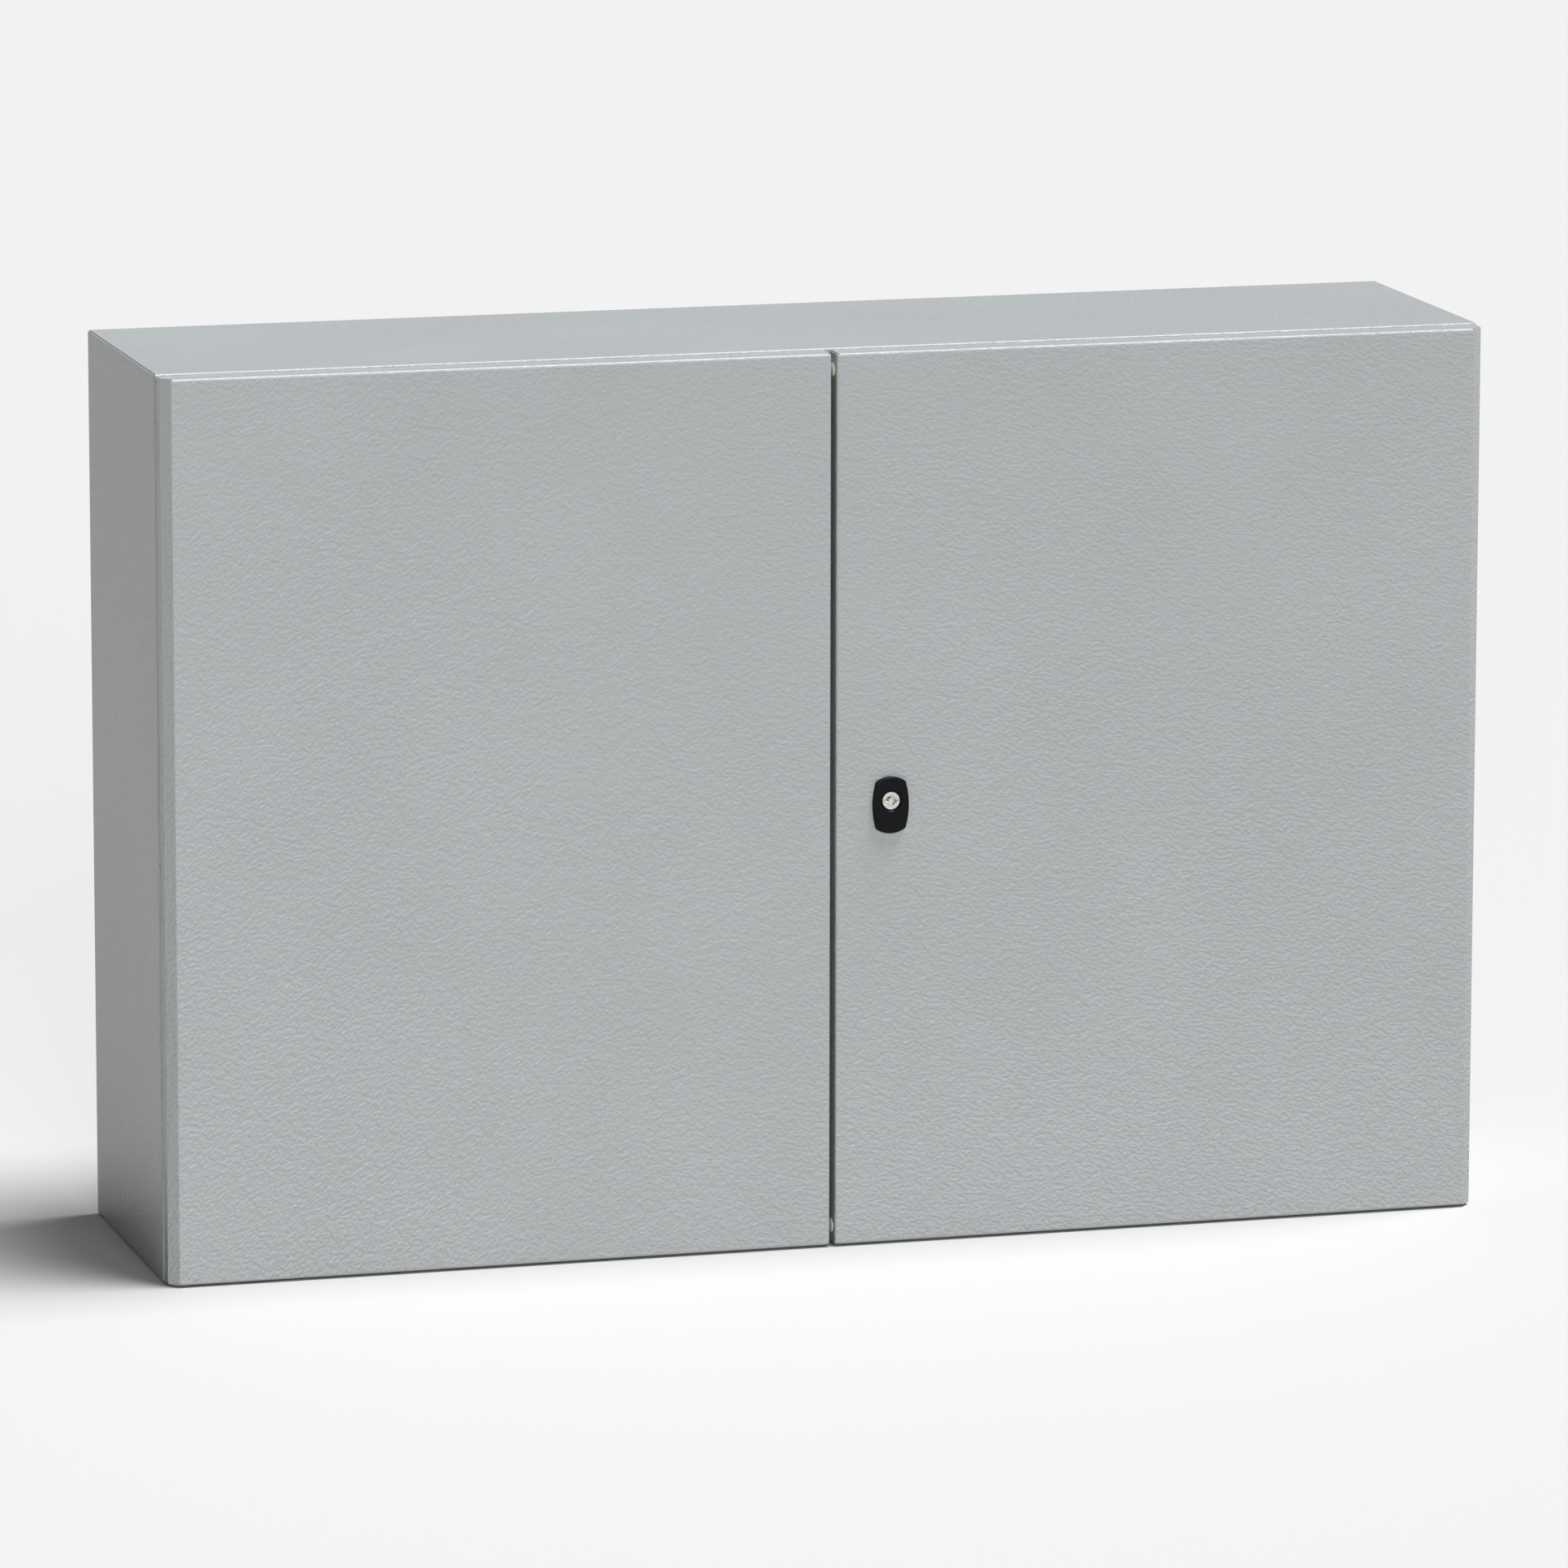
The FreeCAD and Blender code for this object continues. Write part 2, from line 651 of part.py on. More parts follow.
def hinge_bracket(z):
    """Left hinge, half on the body: a plate on the flange, a foot on the lip and a knuckle on an
    arm that comes from the lip, so that the door's edge can swing through between them."""
    low, high = z - HINGE_HALF, z + HINGE_HALF
    under, over = low - OVER, high + OVER
    edge = -HALF_W + HINGE_SIDE_GAP
    casting = box(edge, -LIP_X, HINGE_Y, 0, low, high)
    front = box(edge - OVER, -HINGE_X, HINGE_Y - OVER, -HINGE_PLATE_T, under, over)
    casting = casting.cut(front).cut(rod_z(-HINGE_X, HINGE_Y, HINGE_SWEEP_R, under, over))
    depth, thickness = HINGE_FOOT
    foot = box(-LIP_X - thickness, -LIP_X, -LIP_REACH, -LIP_REACH + depth, low, high)
    arm_low, arm_high = z - KNUCKLE_HALF, z + KNUCKLE_HALF
    arm_y = HINGE_Y - KNUCKLE_R
    arm = box(-HINGE_X, -LIP_X, arm_y, arm_y + HINGE_ARM_T, arm_low, arm_high)
    knuckle = rod_z(-HINGE_X, HINGE_Y, KNUCKLE_R, arm_low, arm_high)
    neck = box(-LIP_X - HINGE_NECK_T, -LIP_X, -LIP_REACH, HINGE_Y + OVER, low, high)
    fold = BEND - SHEET + 0.1
    bend = box(-LIP_X - fold, -LIP_X, -fold, 0, under, over)
    bracket = join([casting, foot, arm, knuckle, neck]).cut(bend)
    bracket = bracket.cut(rod_z(-HINGE_X, HINGE_Y, PIN_R, under, over))
    for dz in (-HINGE_SCREW_DZ, HINGE_SCREW_DZ):
        end = -LIP_X - thickness - OVER
        bracket = bracket.cut(rod_x(HINGE_SCREW_Y, z + dz, HINGE_SCREW_R, end, -LIP_X + OVER))
    return bracket


def hinge_leaf(z):
    """Left hinge, half on the door: two knuckles on an arm welded inside the bevel."""
    low, high = z - LEAF_HALF, z + LEAF_HALF
    left = -HINGE_X - KNUCKLE_R
    right = -HINGE_X + KNUCKLE_R
    inside_bevel = -BEVEL_X - DOOR_PROUD + SHEET * math.sqrt(2)
    arm = prism_z(
        [
            (left, HINGE_Y, 0),
            (left, inside_bevel - left, 0),
            (right, inside_bevel - right, 0),
            (right, HINGE_Y, 0),
        ],
        low,
        high,
    )
    leaf = join([arm, rod_z(-HINGE_X, HINGE_Y, KNUCKLE_R, low, high)])
    reach = KNUCKLE_HALF + KNUCKLE_GAP
    slot = box(left - OVER, right + OVER, HINGE_Y - KNUCKLE_R - 0.5, 0, z - reach, z + reach)
    return leaf.cut(slot).cut(rod_z(-HINGE_X, HINGE_Y, PIN_R + PIN_CLEAR, low - OVER, high + OVER))


def hinge_pins():
    """Pins pressed into the brackets' knuckles."""
    half = LEAF_HALF + HINGE_PIN_PROUD
    pins = []
    for z in HINGE_ZS.values():
        pins += both_sides(rod_z(-HINGE_X, HINGE_Y, PIN_R, z - half, z + half))
    return group(pins)


def hinge_screws():
    """Socket screws that hold the brackets' feet, through the lip from the opening's side."""
    inner = -LIP_X + SHEET
    head_end = inner + HINGE_HEAD_T
    tip = -LIP_X - HINGE_FOOT[1] + 0.4
    screws = []
    for z in hinge_screws_at():
        shank = rod_x(HINGE_SCREW_Y, z, HINGE_SCREW_R, tip, inner)
        head = rod_x(HINGE_SCREW_Y, z, HINGE_HEAD_R, inner, head_end)
        key = hexagon(head_end - HINGE_HEAD_T / 2, HINGE_SCREW_Y, z, HINGE_SOCKET_AF, HINGE_HEAD_T, (1, 0, 0))
        screws += both_sides(join([shank, head]).cut(key))
    return group(screws)


# ---------------------------------------------------------------- doors
def door_plan(inset, back, z0, z1):
    """The left door's plan, bevelled at the hinge side, inset all round and extruded."""
    fold = BEND - inset
    slant = inset * (math.sqrt(2) - 1)
    front = -DOOR_PROUD + inset
    corners = [
        (-DOOR_X + inset, back, 0),
        (-DOOR_X + inset, BEVEL_DEPTH + slant, BEVEL_BEND * fold),
        (-BEVEL_X + slant, front, BEVEL_BEND * fold),
        (-FREE_X - inset, front, fold),
        (-FREE_X - inset, back, 0),
    ]
    return prism_z(corners, z0, z1)


def door_solid(inset, back):
    """The left door's envelope, inset all round: its plan crossed with its side view."""
    low = DOOR_Z + inset
    high = HEIGHT - DOOR_Z - inset
    front = -DOOR_PROUD + inset
    fold = BEND - inset
    corners = [(back, low, 0), (front, low, fold), (front, high, fold), (back, high, 0)]
    return door_plan(inset, back, low, high).common(prism_x(corners, -DOOR_X, -FREE_X))


def door_open_corners():
    """What the folds leave open at the left door's upper end: a step along the free corner, small
    reliefs where two folds meet, and a step along the bevel and the hinge side."""
    top = HEIGHT - DOOR_Z
    front = -DOOR_PROUD - OVER
    width, height = CORNER_STEP
    step = box(-FREE_X - width, 0, front, 0, top - height, HEIGHT)
    wide, high, deep = CORNER_RELIEF
    relief = box(-FREE_X - wide, 0, front, -DOOR_PROUD + deep, top - high, HEIGHT)
    fold = box(-BEVEL_X, -BEVEL_X + high, front, -DOOR_PROUD + deep, top - high, HEIGHT)
    bevel = door_plan(-OVER, DOOR_BACK + OVER, top - BEVEL_STEP, HEIGHT)
    bevel = bevel.cut(door_plan(OVER, DOOR_BACK + 2 * OVER, 0, HEIGHT + OVER))
    bevel = bevel.common(box(-HALF_W - OVER, -BEVEL_X, front - OVER, 0, 0, HEIGHT))
    return [step, relief, fold, bevel]


def door_panel():
    """Left door: a folded pan, bevelled at the hinge side."""
    pan = door_solid(0, DOOR_BACK).cut(door_solid(SHEET, DOOR_BACK + OVER))
    for waste in door_open_corners():
        pan = pan.cut(waste).cut(mirror_z(waste))
    for z in (PLUG_Z, HEIGHT - PLUG_Z):
        pan = pan.cut(rod_x(PLUG_Y, z, PLUG_NECK_R, -FREE_X - SHEET - OVER, -FREE_X + OVER))
    return pan


def right_door_panel():
    """Right door: the left one's mirror image, drilled for the lock."""
    pan = mirror_x(door_panel())
    hole_r = HOUSING_R + HOUSING_FIT
    return pan.cut(rod_y(LOCK_X, LOCK_Z, hole_r, -DOOR_PROUD - OVER, SKIN_IN + OVER))


def door_gasket():
    """Left door: closed frame of foam that meets the body's lip and the centre post."""
    back = -LIP_REACH - SEAL_GAP
    half = SEAL_WIDTH / 2
    x0, x1 = -LIP_X + SHEET / 2, -POST_LIP_X - SHEET / 2
    z0 = LIP_Z + SHEET / 2
    z1 = HEIGHT - z0
    outer = [
        (x0 - half, z0 - half, SEAL_CORNER_R),
        (x1 + half, z0 - half, SEAL_CORNER_R),
        (x1 + half, z1 + half, SEAL_CORNER_R),
        (x0 - half, z1 + half, SEAL_CORNER_R),
    ]
    inner = box(x0 + half, x1 - half, SKIN_IN - OVER, back + OVER, z0 + half, z1 - half)
    return prism_y(outer, SKIN_IN, back).cut(inner)


def door_rail(x_in):
    """Left door: perforated U rail welded to the inside of the skin."""
    x0, x1 = -x_in - RAIL_WIDTH, -x_in
    y1 = SKIN_IN + RAIL_DEPTH
    z0, z1 = RAIL_END, HEIGHT - RAIL_END
    rail = box(x0, x1, SKIN_IN, y1, z0, z1)
    rail = rail.cut(box(x0 + SHEET, x1 - SHEET, SKIN_IN - OVER, y1 - SHEET, z0 - OVER, z1 + OVER))
    count = int((z1 - z0) / RAIL_PITCH)
    first = MID_Z - RAIL_PITCH * (count - 1) / 2
    for k in range(count):
        z = first + RAIL_PITCH * k
        rail = rail.cut(rod_y((x0 + x1) / 2, z, RAIL_HOLE_R, y1 - SHEET - OVER, y1 + OVER))
    return rail


def door_earth_stud():
    """Left door: earth stud with a hexagonal foot."""
    x, z = -DOOR_EARTH_X, DOOR_EARTH_Z
    foot = hexagon(x, SKIN_IN, z, DOOR_EARTH_AF, DOOR_EARTH_FOOT_T, (0, 1, 0))
    stud = chamfered_stud(x, SKIN_IN, z, DOOR_EARTH_R, DOOR_EARTH_LENGTH, (0, 1, 0))
    return join([foot, stud])


def door_edge_plugs():
    """Left door: round plugs in the free edge, domed outside and clipped inside."""
    face = -FREE_X
    inner = face - SHEET
    rim_end = face + PLUG_RIM
    plugs = []
    for z in (PLUG_Z, HEIGHT - PLUG_Z):
        rim = rod_x(PLUG_Y, z, PLUG_R, face, rim_end)
        dome = cone_x(PLUG_Y, z, PLUG_R, PLUG_DOME_R, rim_end, rim_end + PLUG_DOME)
        neck = rod_x(PLUG_Y, z, PLUG_NECK_R, inner, face)
        clip = cone_x(PLUG_Y, z, *PLUG_CLIP_R, inner, inner - PLUG_CLIP)
        plugs.append(join([rim, dome, neck, clip]))
    return group(plugs)


def earth_stud():
    """Earth stud of the body, standing on the floor sheet, with a hexagonal foot."""
    up = (0, 0, 1)
    foot = hexagon(EARTH_X, EARTH_Y, SHEET, NUT_AF, EARTH_FOOT_T, up)
    stud = chamfered_stud(EARTH_X, EARTH_Y, SHEET + EARTH_FOOT_T, STUD_R, EARTH_LENGTH, up)
    return join([foot, stud])


# ---------------------------------------------------------------- lock
def lock_cover():
    """Barrel-shaped cover plate with a round window for the insert."""
    corner_x, corner_z = COVER_CORNER
    bulge_x, bulge_z = COVER_BULGE

    def at(dx, dz):
        return V(LOCK_X + dx, y_at(-DOOR_PROUD), COVER_Z + dz)

    arcs = [
        Part.Arc(at(-corner_x, -corner_z), at(0, -bulge_z), at(corner_x, -corner_z)),
        Part.Arc(at(corner_x, -corner_z), at(bulge_x, 0), at(corner_x, corner_z)),
        Part.Arc(at(corner_x, corner_z), at(0, bulge_z), at(-corner_x, corner_z)),
        Part.Arc(at(-corner_x, corner_z), at(-bulge_x, 0), at(-corner_x, -corner_z)),
    ]
    outline = Part.Face(Part.Wire([a.toShape() for a in arcs]))
    cover = outline.extrude(V(0, -COVER_PROUD, 0))
    uprights = [e for e in cover.Edges if abs(e.BoundBox.YLength - COVER_PROUD) < 0.01]
    cover = cover.makeFillet(COVER_CORNER_R, uprights)
    face = -DOOR_PROUD - COVER_PROUD
    rim = [e for e in cover.Edges if e.BoundBox.YMax < y_at(face) + 0.01]
    cover = cover.makeFillet(COVER_RIM_R, rim)
    window = rod_y(LOCK_X, LOCK_Z, WINDOW_R, face - OVER, 0)
    funnel = Part.makeCone(
        WINDOW_R + WINDOW_FUNNEL, WINDOW_R, WINDOW_FUNNEL, V(LOCK_X, y_at(face), LOCK_Z), V(0, 1, 0)
    )
    pocket = rod_y(LOCK_X, LOCK_Z, COVER_POCKET_R, face + COVER_FACE_T, 0)
    mark_x, mark_z, mark_r, mark_depth = COVER_MARK
    mark = rod_y(LOCK_X + mark_x, COVER_Z + mark_z, mark_r, face - OVER, face + mark_depth)
    for waste in (window, funnel, pocket, mark):
        cover = cover.cut(waste)
    return cover


def lock_housing():
    """Threaded barrel through the door skin, with a collar in front and a wall behind."""
    collar_front = -DOOR_PROUD - COLLAR_T
    barrel = rod_y(LOCK_X, LOCK_Z, HOUSING_R, -DOOR_PROUD, HOUSING_END)
    collar = rod_y(LOCK_X, LOCK_Z, COLLAR_R, collar_front, -DOOR_PROUD)
    bore = rod_y(LOCK_X, LOCK_Z, INSERT_R + INSERT_CLEAR, collar_front - OVER, HOUSING_WALL)
    throat = rod_y(LOCK_X, LOCK_Z, THROAT_R, HOUSING_WALL - OVER, HOUSING_END + OVER)
    return join([barrel, collar]).cut(bore).cut(throat)


def lock_nut():
    """Hexagonal nut that clamps the housing to the skin."""
    nut = hexagon(LOCK_X, SKIN_IN, LOCK_Z, LOCK_NUT_AF, LOCK_NUT_T, (0, 1, 0))
    return nut.cut(rod_y(LOCK_X, LOCK_Z, HOUSING_R, SKIN_IN - OVER, SKIN_IN + LOCK_NUT_T + OVER))


def square_y(half, y0, y1):
    """A square bar along the lock's axis."""
    return box(LOCK_X - half, LOCK_X + half, y0, y1, LOCK_Z - half, LOCK_Z + half)


def lock_insert():
    """Turning insert: double-bit socket in front, square spindle behind."""
    drum = rod_y(LOCK_X, LOCK_Z, INSERT_R, INSERT_FRONT, INSERT_END)
    mouth = INSERT_FRONT - OVER
    floor = INSERT_FRONT + SOCKET_DEPTH
    socket = rod_y(LOCK_X, LOCK_Z, SOCKET_R, mouth, floor)
    pin = rod_y(LOCK_X, LOCK_Z, SOCKET_PIN_R, INSERT_FRONT + SOCKET_PIN_SUNK, floor)
    reach, half_height = BIT
    bits = box(LOCK_X - reach, LOCK_X + reach, mouth, floor, LOCK_Z - half_height, LOCK_Z + half_height)
    drum = drum.cut(socket).cut(bits).fuse(pin)
    spindle = square_y(SPINDLE / 2, INSERT_END, CAM_Y[1])
    screw_hole = rod_y(LOCK_X, LOCK_Z, CAM_SCREW_R, CAM_SCREW_TIP - 0.5, CAM_Y[1] + OVER)
    return drum.fuse(spindle).removeSplitter().cut(screw_hole)


def crank_pin(angle):
    """(x, z) of a crank pin with the lock open."""
    return (
        LOCK_X + CRANK * math.cos(math.radians(angle)),
        LOCK_Z + CRANK * math.sin(math.radians(angle)),
    )


def lock_cam():
    """Disc on the spindle with the tongue, pointing up while open, and the two crank pins."""
    disc = rod_y(LOCK_X, LOCK_Z, CAM_DISC_R, *CAM_Y)
    half = CAM_WIDTH / 2
    tip_z = LOCK_Z + CAM_LENGTH - half
    tongue = box(LOCK_X - half, LOCK_X + half, *CAM_Y, LOCK_Z, tip_z)
    tip = rod_y(LOCK_X, tip_z, half, *CAM_Y)
    pins = []
    for angle in CRANK_ANGLES:
        x, z = crank_pin(angle)
        pins.append(rod_y(x, z, CRANK_PIN_R, CAM_Y[0], ROD_PLATE_Y[1] + CRANK_PIN_PROUD))
    cam = join([disc, tongue, tip] + pins)
    return cam.cut(square_y(SPINDLE / 2 + SPINDLE_CLEAR, CAM_Y[0] - OVER, CAM_Y[1] + OVER))


def cam_screw():
    """Hexagon-head screw that holds the cam on the spindle."""
    washer_r, washer_t = CAM_WASHER
    across, height = CAM_HEAD
    seat = CAM_Y[1] + washer_t
    shank = rod_y(LOCK_X, LOCK_Z, CAM_SCREW_R, CAM_SCREW_TIP, CAM_Y[1])
    washer = rod_y(LOCK_X, LOCK_Z, washer_r, CAM_Y[1], seat)
    head = hexagon(LOCK_X, seat, LOCK_Z, across, height, (0, 1, 0))
    return join([shank, washer, head])


def upright_plate(x, half, z0, z1, radius, y0, y1):
    """A plate across Y with four equal round corners."""
    corners = [(x - half, z0), (x + half, z0), (x + half, z1), (x - half, z1)]
    return prism_y([(u, v, radius) for u, v in corners], y0, y1)


def upper_lock_rod():
    """Round rod with a flat, slotted end that rides on the right-hand crank pin."""
    x = LOCK_X + ROD_OFFSET
    pin_z = crank_pin(CRANK_ANGLES[0])[1]
    narrowing, taper = ROD_TAPER
    y0, y1 = ROD_PLATE_Y
    plate = upright_plate(
        x, ROD_PLATE_HALF, pin_z - ROD_PLATE_LOW, LOCK_Z + ROD_PLATE_TOP, ROD_CORNER_R, y0, y1
    )
    slot_half = CRANK_PIN_R + CRANK_PLAY
    slot = upright_plate(
        x, ROD_SLOT_HALF, pin_z - slot_half, pin_z + slot_half, slot_half - 0.2, y0 - OVER, y1 + OVER
    )
    shoulder = ROD_TIP - taper
    bar = rod_z(x, ROD_Y, ROD_R, LOCK_Z + ROD_BAR_LOW, shoulder)
    tip = Part.makeCone(ROD_R, ROD_R - narrowing, taper, V(x, y_at(ROD_Y), shoulder), V(0, 0, 1))
    return join([plate, bar, tip]).cut(slot)


def lower_lock_rod():
    """The upper rod turned half round about the lock's axis."""
    rod = upper_lock_rod()
    return rod.rotated(V(LOCK_X, 0, LOCK_Z), V(0, 1, 0), 180)


def upper_rod_guide():
    """Bent bracket on the door skin with a hole that the upper rod slides in."""
    x = LOCK_X + ROD_OFFSET
    end = ROD_Y + ROD_R + GUIDE_EDGE
    path = [(SKIN_IN, GUIDE_Z + GUIDE_HEIGHT), (SKIN_IN, GUIDE_Z), (end, GUIDE_Z)]
    bracket = prism_x(bent_section(path, +1), x - GUIDE_HALF, x + GUIDE_HALF)
    return bracket.cut(rod_z(x, ROD_Y, ROD_R + SLIDE_GAP, GUIDE_Z - OVER, GUIDE_Z + SHEET + OVER))


def lower_rod_guide():
    """The same bracket, turned half round about the lock's axis."""
    return upper_rod_guide().rotated(V(LOCK_X, 0, LOCK_Z), V(0, 1, 0), 180)


# ---------------------------------------------------------------- bolts of the left door
def upper_bolt_bracket():
    """C-shaped bracket with two slots that the bolt slides in."""
    z0, z1 = BOLT_BRACKET_Z
    y0, y1 = BOLT_Y
    end = y1 + GUIDE_EDGE
    path = [(end, z1), (SKIN_IN, z1), (SKIN_IN, z0), (end, z0)]
    outer = BOLT_WIDTH / 2 + GUIDE_EDGE
    inner = BOLT_WIDTH / 2 + SLIDE_GAP
    bracket = prism_x(bent_section(path, +1), BOLT_X - outer, BOLT_X + outer)
    slot = box(BOLT_X - inner, BOLT_X + inner, y0 - SLIDE_GAP, y1 + SLIDE_GAP, z0 - OVER, z1 + OVER)
    return bracket.cut(slot)


def upper_door_bolt():
    """Flat slide bolt with a finger knob near its lower end."""
    half = BOLT_WIDTH / 2
    bar = prism_y(
        [
            (BOLT_X - half, BOLT_START, BOLT_START_R),
            (BOLT_X + half, BOLT_START, BOLT_START_R),
            (BOLT_X + half, BOLT_TIP, BOLT_TIP_R),
            (BOLT_X - half, BOLT_TIP, BOLT_TIP_R),
        ],
        *BOLT_Y,
    )
    neck_r, neck_length = KNOB_NECK
    head_r, head_length = KNOB_HEAD
    neck_end = BOLT_Y[1] + neck_length
    neck = rod_y(BOLT_X, KNOB_Z, neck_r, BOLT_Y[1], neck_end)
    knob = rod_y(BOLT_X, KNOB_Z, head_r, neck_end, neck_end + head_length)
    return join([bar, neck, knob])


# ---------------------------------------------------------------- write every sub-part
def main():
    os.makedirs("parts", exist_ok=True)

    side = left_side_panel()
    save("back_panel", back_panel())
    save("top_panel", top_panel())
    save("bottom_panel", bottom_panel())
    save("left_side_panel", side)
    save("right_side_panel", mirror_x(side))
    save("centre_post", centre_post())
    save("centre_post_screws", centre_post_screws())

    save("mounting_plate", mounting_plate())
    save("mounting_plate_studs", mounting_plate_studs())
    save("mounting_plate_spacers", mounting_plate_spacers())
    save("mounting_plate_washers", mounting_plate_washers())
    save("mounting_plate_nuts", mounting_plate_nuts())

    save("right_gland_plate", gland_plate())
    save("left_gland_plate", mirror_x(gland_plate()))
    save("right_gland_gasket", gland_gasket())
    save("left_gland_gasket", mirror_x(gland_gasket()))
    save("gland_plate_studs", gland_plate_studs())
    save("gland_plate_nuts", gland_plate_nuts())
    save("earth_stud", earth_stud())

    for place, z in HINGE_ZS.items():
        bracket = hinge_bracket(z)
        leaf = hinge_leaf(z)
        save("left_%s_hinge_bracket" % place, bracket)
        save("right_%s_hinge_bracket" % place, mirror_x(bracket))
        save("left_%s_hinge_leaf" % place, leaf)
        save("right_%s_hinge_leaf" % place, mirror_x(leaf))
    save("hinge_pins", hinge_pins())
    save("hinge_screws", hinge_screws())

    seal = door_gasket()
    inner_rail = door_rail(RAIL_IN_X)
    outer_rail = door_rail(RAIL_OUT_X)
    plugs = door_edge_plugs()
    stud = door_earth_stud()
    save("left_door_panel", door_panel())
    save("right_door_panel", right_door_panel())
    for name, piece in (
        ("gasket", seal),
        ("inner_rail", inner_rail),
        ("outer_rail", outer_rail),
        ("edge_plugs", plugs),
        ("earth_stud", stud),
    ):
        save("left_door_%s" % name, piece)
        save("right_door_%s" % name, mirror_x(piece))

    save("lock_cover", lock_cover())
    save("lock_housing", lock_housing())
    save("lock_nut", lock_nut())
    save("lock_insert", lock_insert())
    save("lock_cam", lock_cam())
    save("cam_screw", cam_screw())
    save("upper_lock_rod", upper_lock_rod())
    save("lower_lock_rod", lower_lock_rod())
    save("upper_rod_guide", upper_rod_guide())
    save("lower_rod_guide", lower_rod_guide())

    save("upper_bolt_bracket", upper_bolt_bracket())
    save("lower_bolt_bracket", mirror_z(upper_bolt_bracket()))
    save("upper_door_bolt", upper_door_bolt())
    save("lower_door_bolt", mirror_z(upper_door_bolt()))


main()
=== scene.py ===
import json
import math
import random

import bmesh
import bpy
from mathutils import Matrix, Vector


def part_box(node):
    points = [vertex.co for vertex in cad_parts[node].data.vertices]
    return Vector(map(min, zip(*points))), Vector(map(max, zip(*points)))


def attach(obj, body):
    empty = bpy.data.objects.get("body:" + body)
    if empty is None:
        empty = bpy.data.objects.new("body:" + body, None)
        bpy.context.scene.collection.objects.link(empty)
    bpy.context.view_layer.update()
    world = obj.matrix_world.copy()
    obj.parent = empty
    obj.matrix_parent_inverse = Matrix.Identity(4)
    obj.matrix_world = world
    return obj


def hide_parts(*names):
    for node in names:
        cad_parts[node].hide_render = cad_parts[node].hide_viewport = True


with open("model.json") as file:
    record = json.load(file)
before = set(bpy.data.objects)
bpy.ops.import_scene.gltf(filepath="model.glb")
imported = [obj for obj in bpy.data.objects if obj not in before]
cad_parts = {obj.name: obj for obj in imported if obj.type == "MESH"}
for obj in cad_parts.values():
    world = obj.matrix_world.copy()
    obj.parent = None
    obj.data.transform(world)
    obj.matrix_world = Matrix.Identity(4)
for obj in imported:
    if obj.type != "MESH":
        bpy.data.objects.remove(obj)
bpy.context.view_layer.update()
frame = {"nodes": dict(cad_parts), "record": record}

NODES = frame["nodes"]
MM = 0.001

# ---------------------------------------------------------------- camera
AZIMUTH = math.radians(15.6164)      # turned to the cabinet's left
ELEVATION = math.radians(10.7754)
ROLL = math.radians(0.0755)
DISTANCE = 9.148
AIM = Vector((0.0003, 0.0140, 0.3872))
LENS = 235.1
SENSOR = 36.0
CLIP_END = 200.0


def set_camera():
    """The camera of the reference view, on a long lens."""
    data = bpy.data.cameras.new("camera")
    data.lens = LENS
    data.sensor_width = SENSOR
    data.clip_end = CLIP_END
    flat = math.cos(ELEVATION)
    forward = Vector((
        math.sin(AZIMUTH) * flat,
        math.cos(AZIMUTH) * flat,
        -math.sin(ELEVATION),
    ))
    turn = forward.to_track_quat("-Z", "Y").to_matrix().to_4x4()
    camera = bpy.data.objects.new("camera", data)
    camera.matrix_world = (
        Matrix.Translation(AIM - forward * DISTANCE) @ turn @ Matrix.Rotation(ROLL, 4, "Z")
    )
    bpy.context.scene.collection.objects.link(camera)
    bpy.context.scene.camera = camera


# ---------------------------------------------------------------- light and floor
SURROUND = (0.050, 0.049, 0.045)     # radiance of the studio's walls
LAMP_TINT = (0.943, 0.962, 1.0)
LAMPS = {                            # strength, spread, direction of the lamp
    "overhead": (5.66, math.radians(26.0), Vector((0.264, -0.100, 0.959))),
    "frontal": (1.88, math.radians(30.0), Vector((-0.08, -0.945, 0.30))),
}
LAMP_FAR = 5.0
FLOOR_COLOUR = (0.485, 0.475, 0.458)
FLOOR_ROUGHNESS = 0.9
FLOOR_HALF = 30.0
FLOOR_DROP = 0.5 * MM                # keeps floor and underside from flickering


def distant_light(name, strength, spread, towards):
    """A far, soft light that reaches the whole studio evenly; towards points at it."""
    data = bpy.data.lights.new(name, "SUN")
    data.energy = strength
    data.angle = spread
    data.color = LAMP_TINT
    light = bpy.data.objects.new(name, data)
    light.rotation_euler = (-towards).to_track_quat("-Z", "Y").to_euler()
    light.location = towards * LAMP_FAR
    bpy.context.scene.collection.objects.link(light)


def set_lights():
    """A soft light from overhead, a softer one from the front, and an even surround."""
    for name, settings in LAMPS.items():
        distant_light(name, *settings)
    world = bpy.data.worlds.new("studio")
    world.use_nodes = True
    background = world.node_tree.nodes["Background"]
    background.inputs["Color"].default_value = (*SURROUND, 1.0)
    bpy.context.scene.world = world
    bpy.context.scene.view_settings.view_transform = "Standard"


def set_floor():
    """A plain pale floor."""
    mesh = bpy.data.meshes.new("floor")
    corners = [(x * FLOOR_HALF, y * FLOOR_HALF, 0) for x, y in ((-1, -1), (1, -1), (1, 1), (-1, 1))]
    mesh.from_pydata(corners, [], [(0, 1, 2, 3)])
    floor = bpy.data.objects.new("floor", mesh)
    floor.location.z = -FLOOR_DROP
    bpy.context.scene.collection.objects.link(floor)
    material, _, shader = new_material("pale_floor")
    shader.inputs["Base Color"].default_value = (*FLOOR_COLOUR, 1.0)
    shader.inputs["Roughness"].default_value = FLOOR_ROUGHNESS
    mesh.materials.append(material)


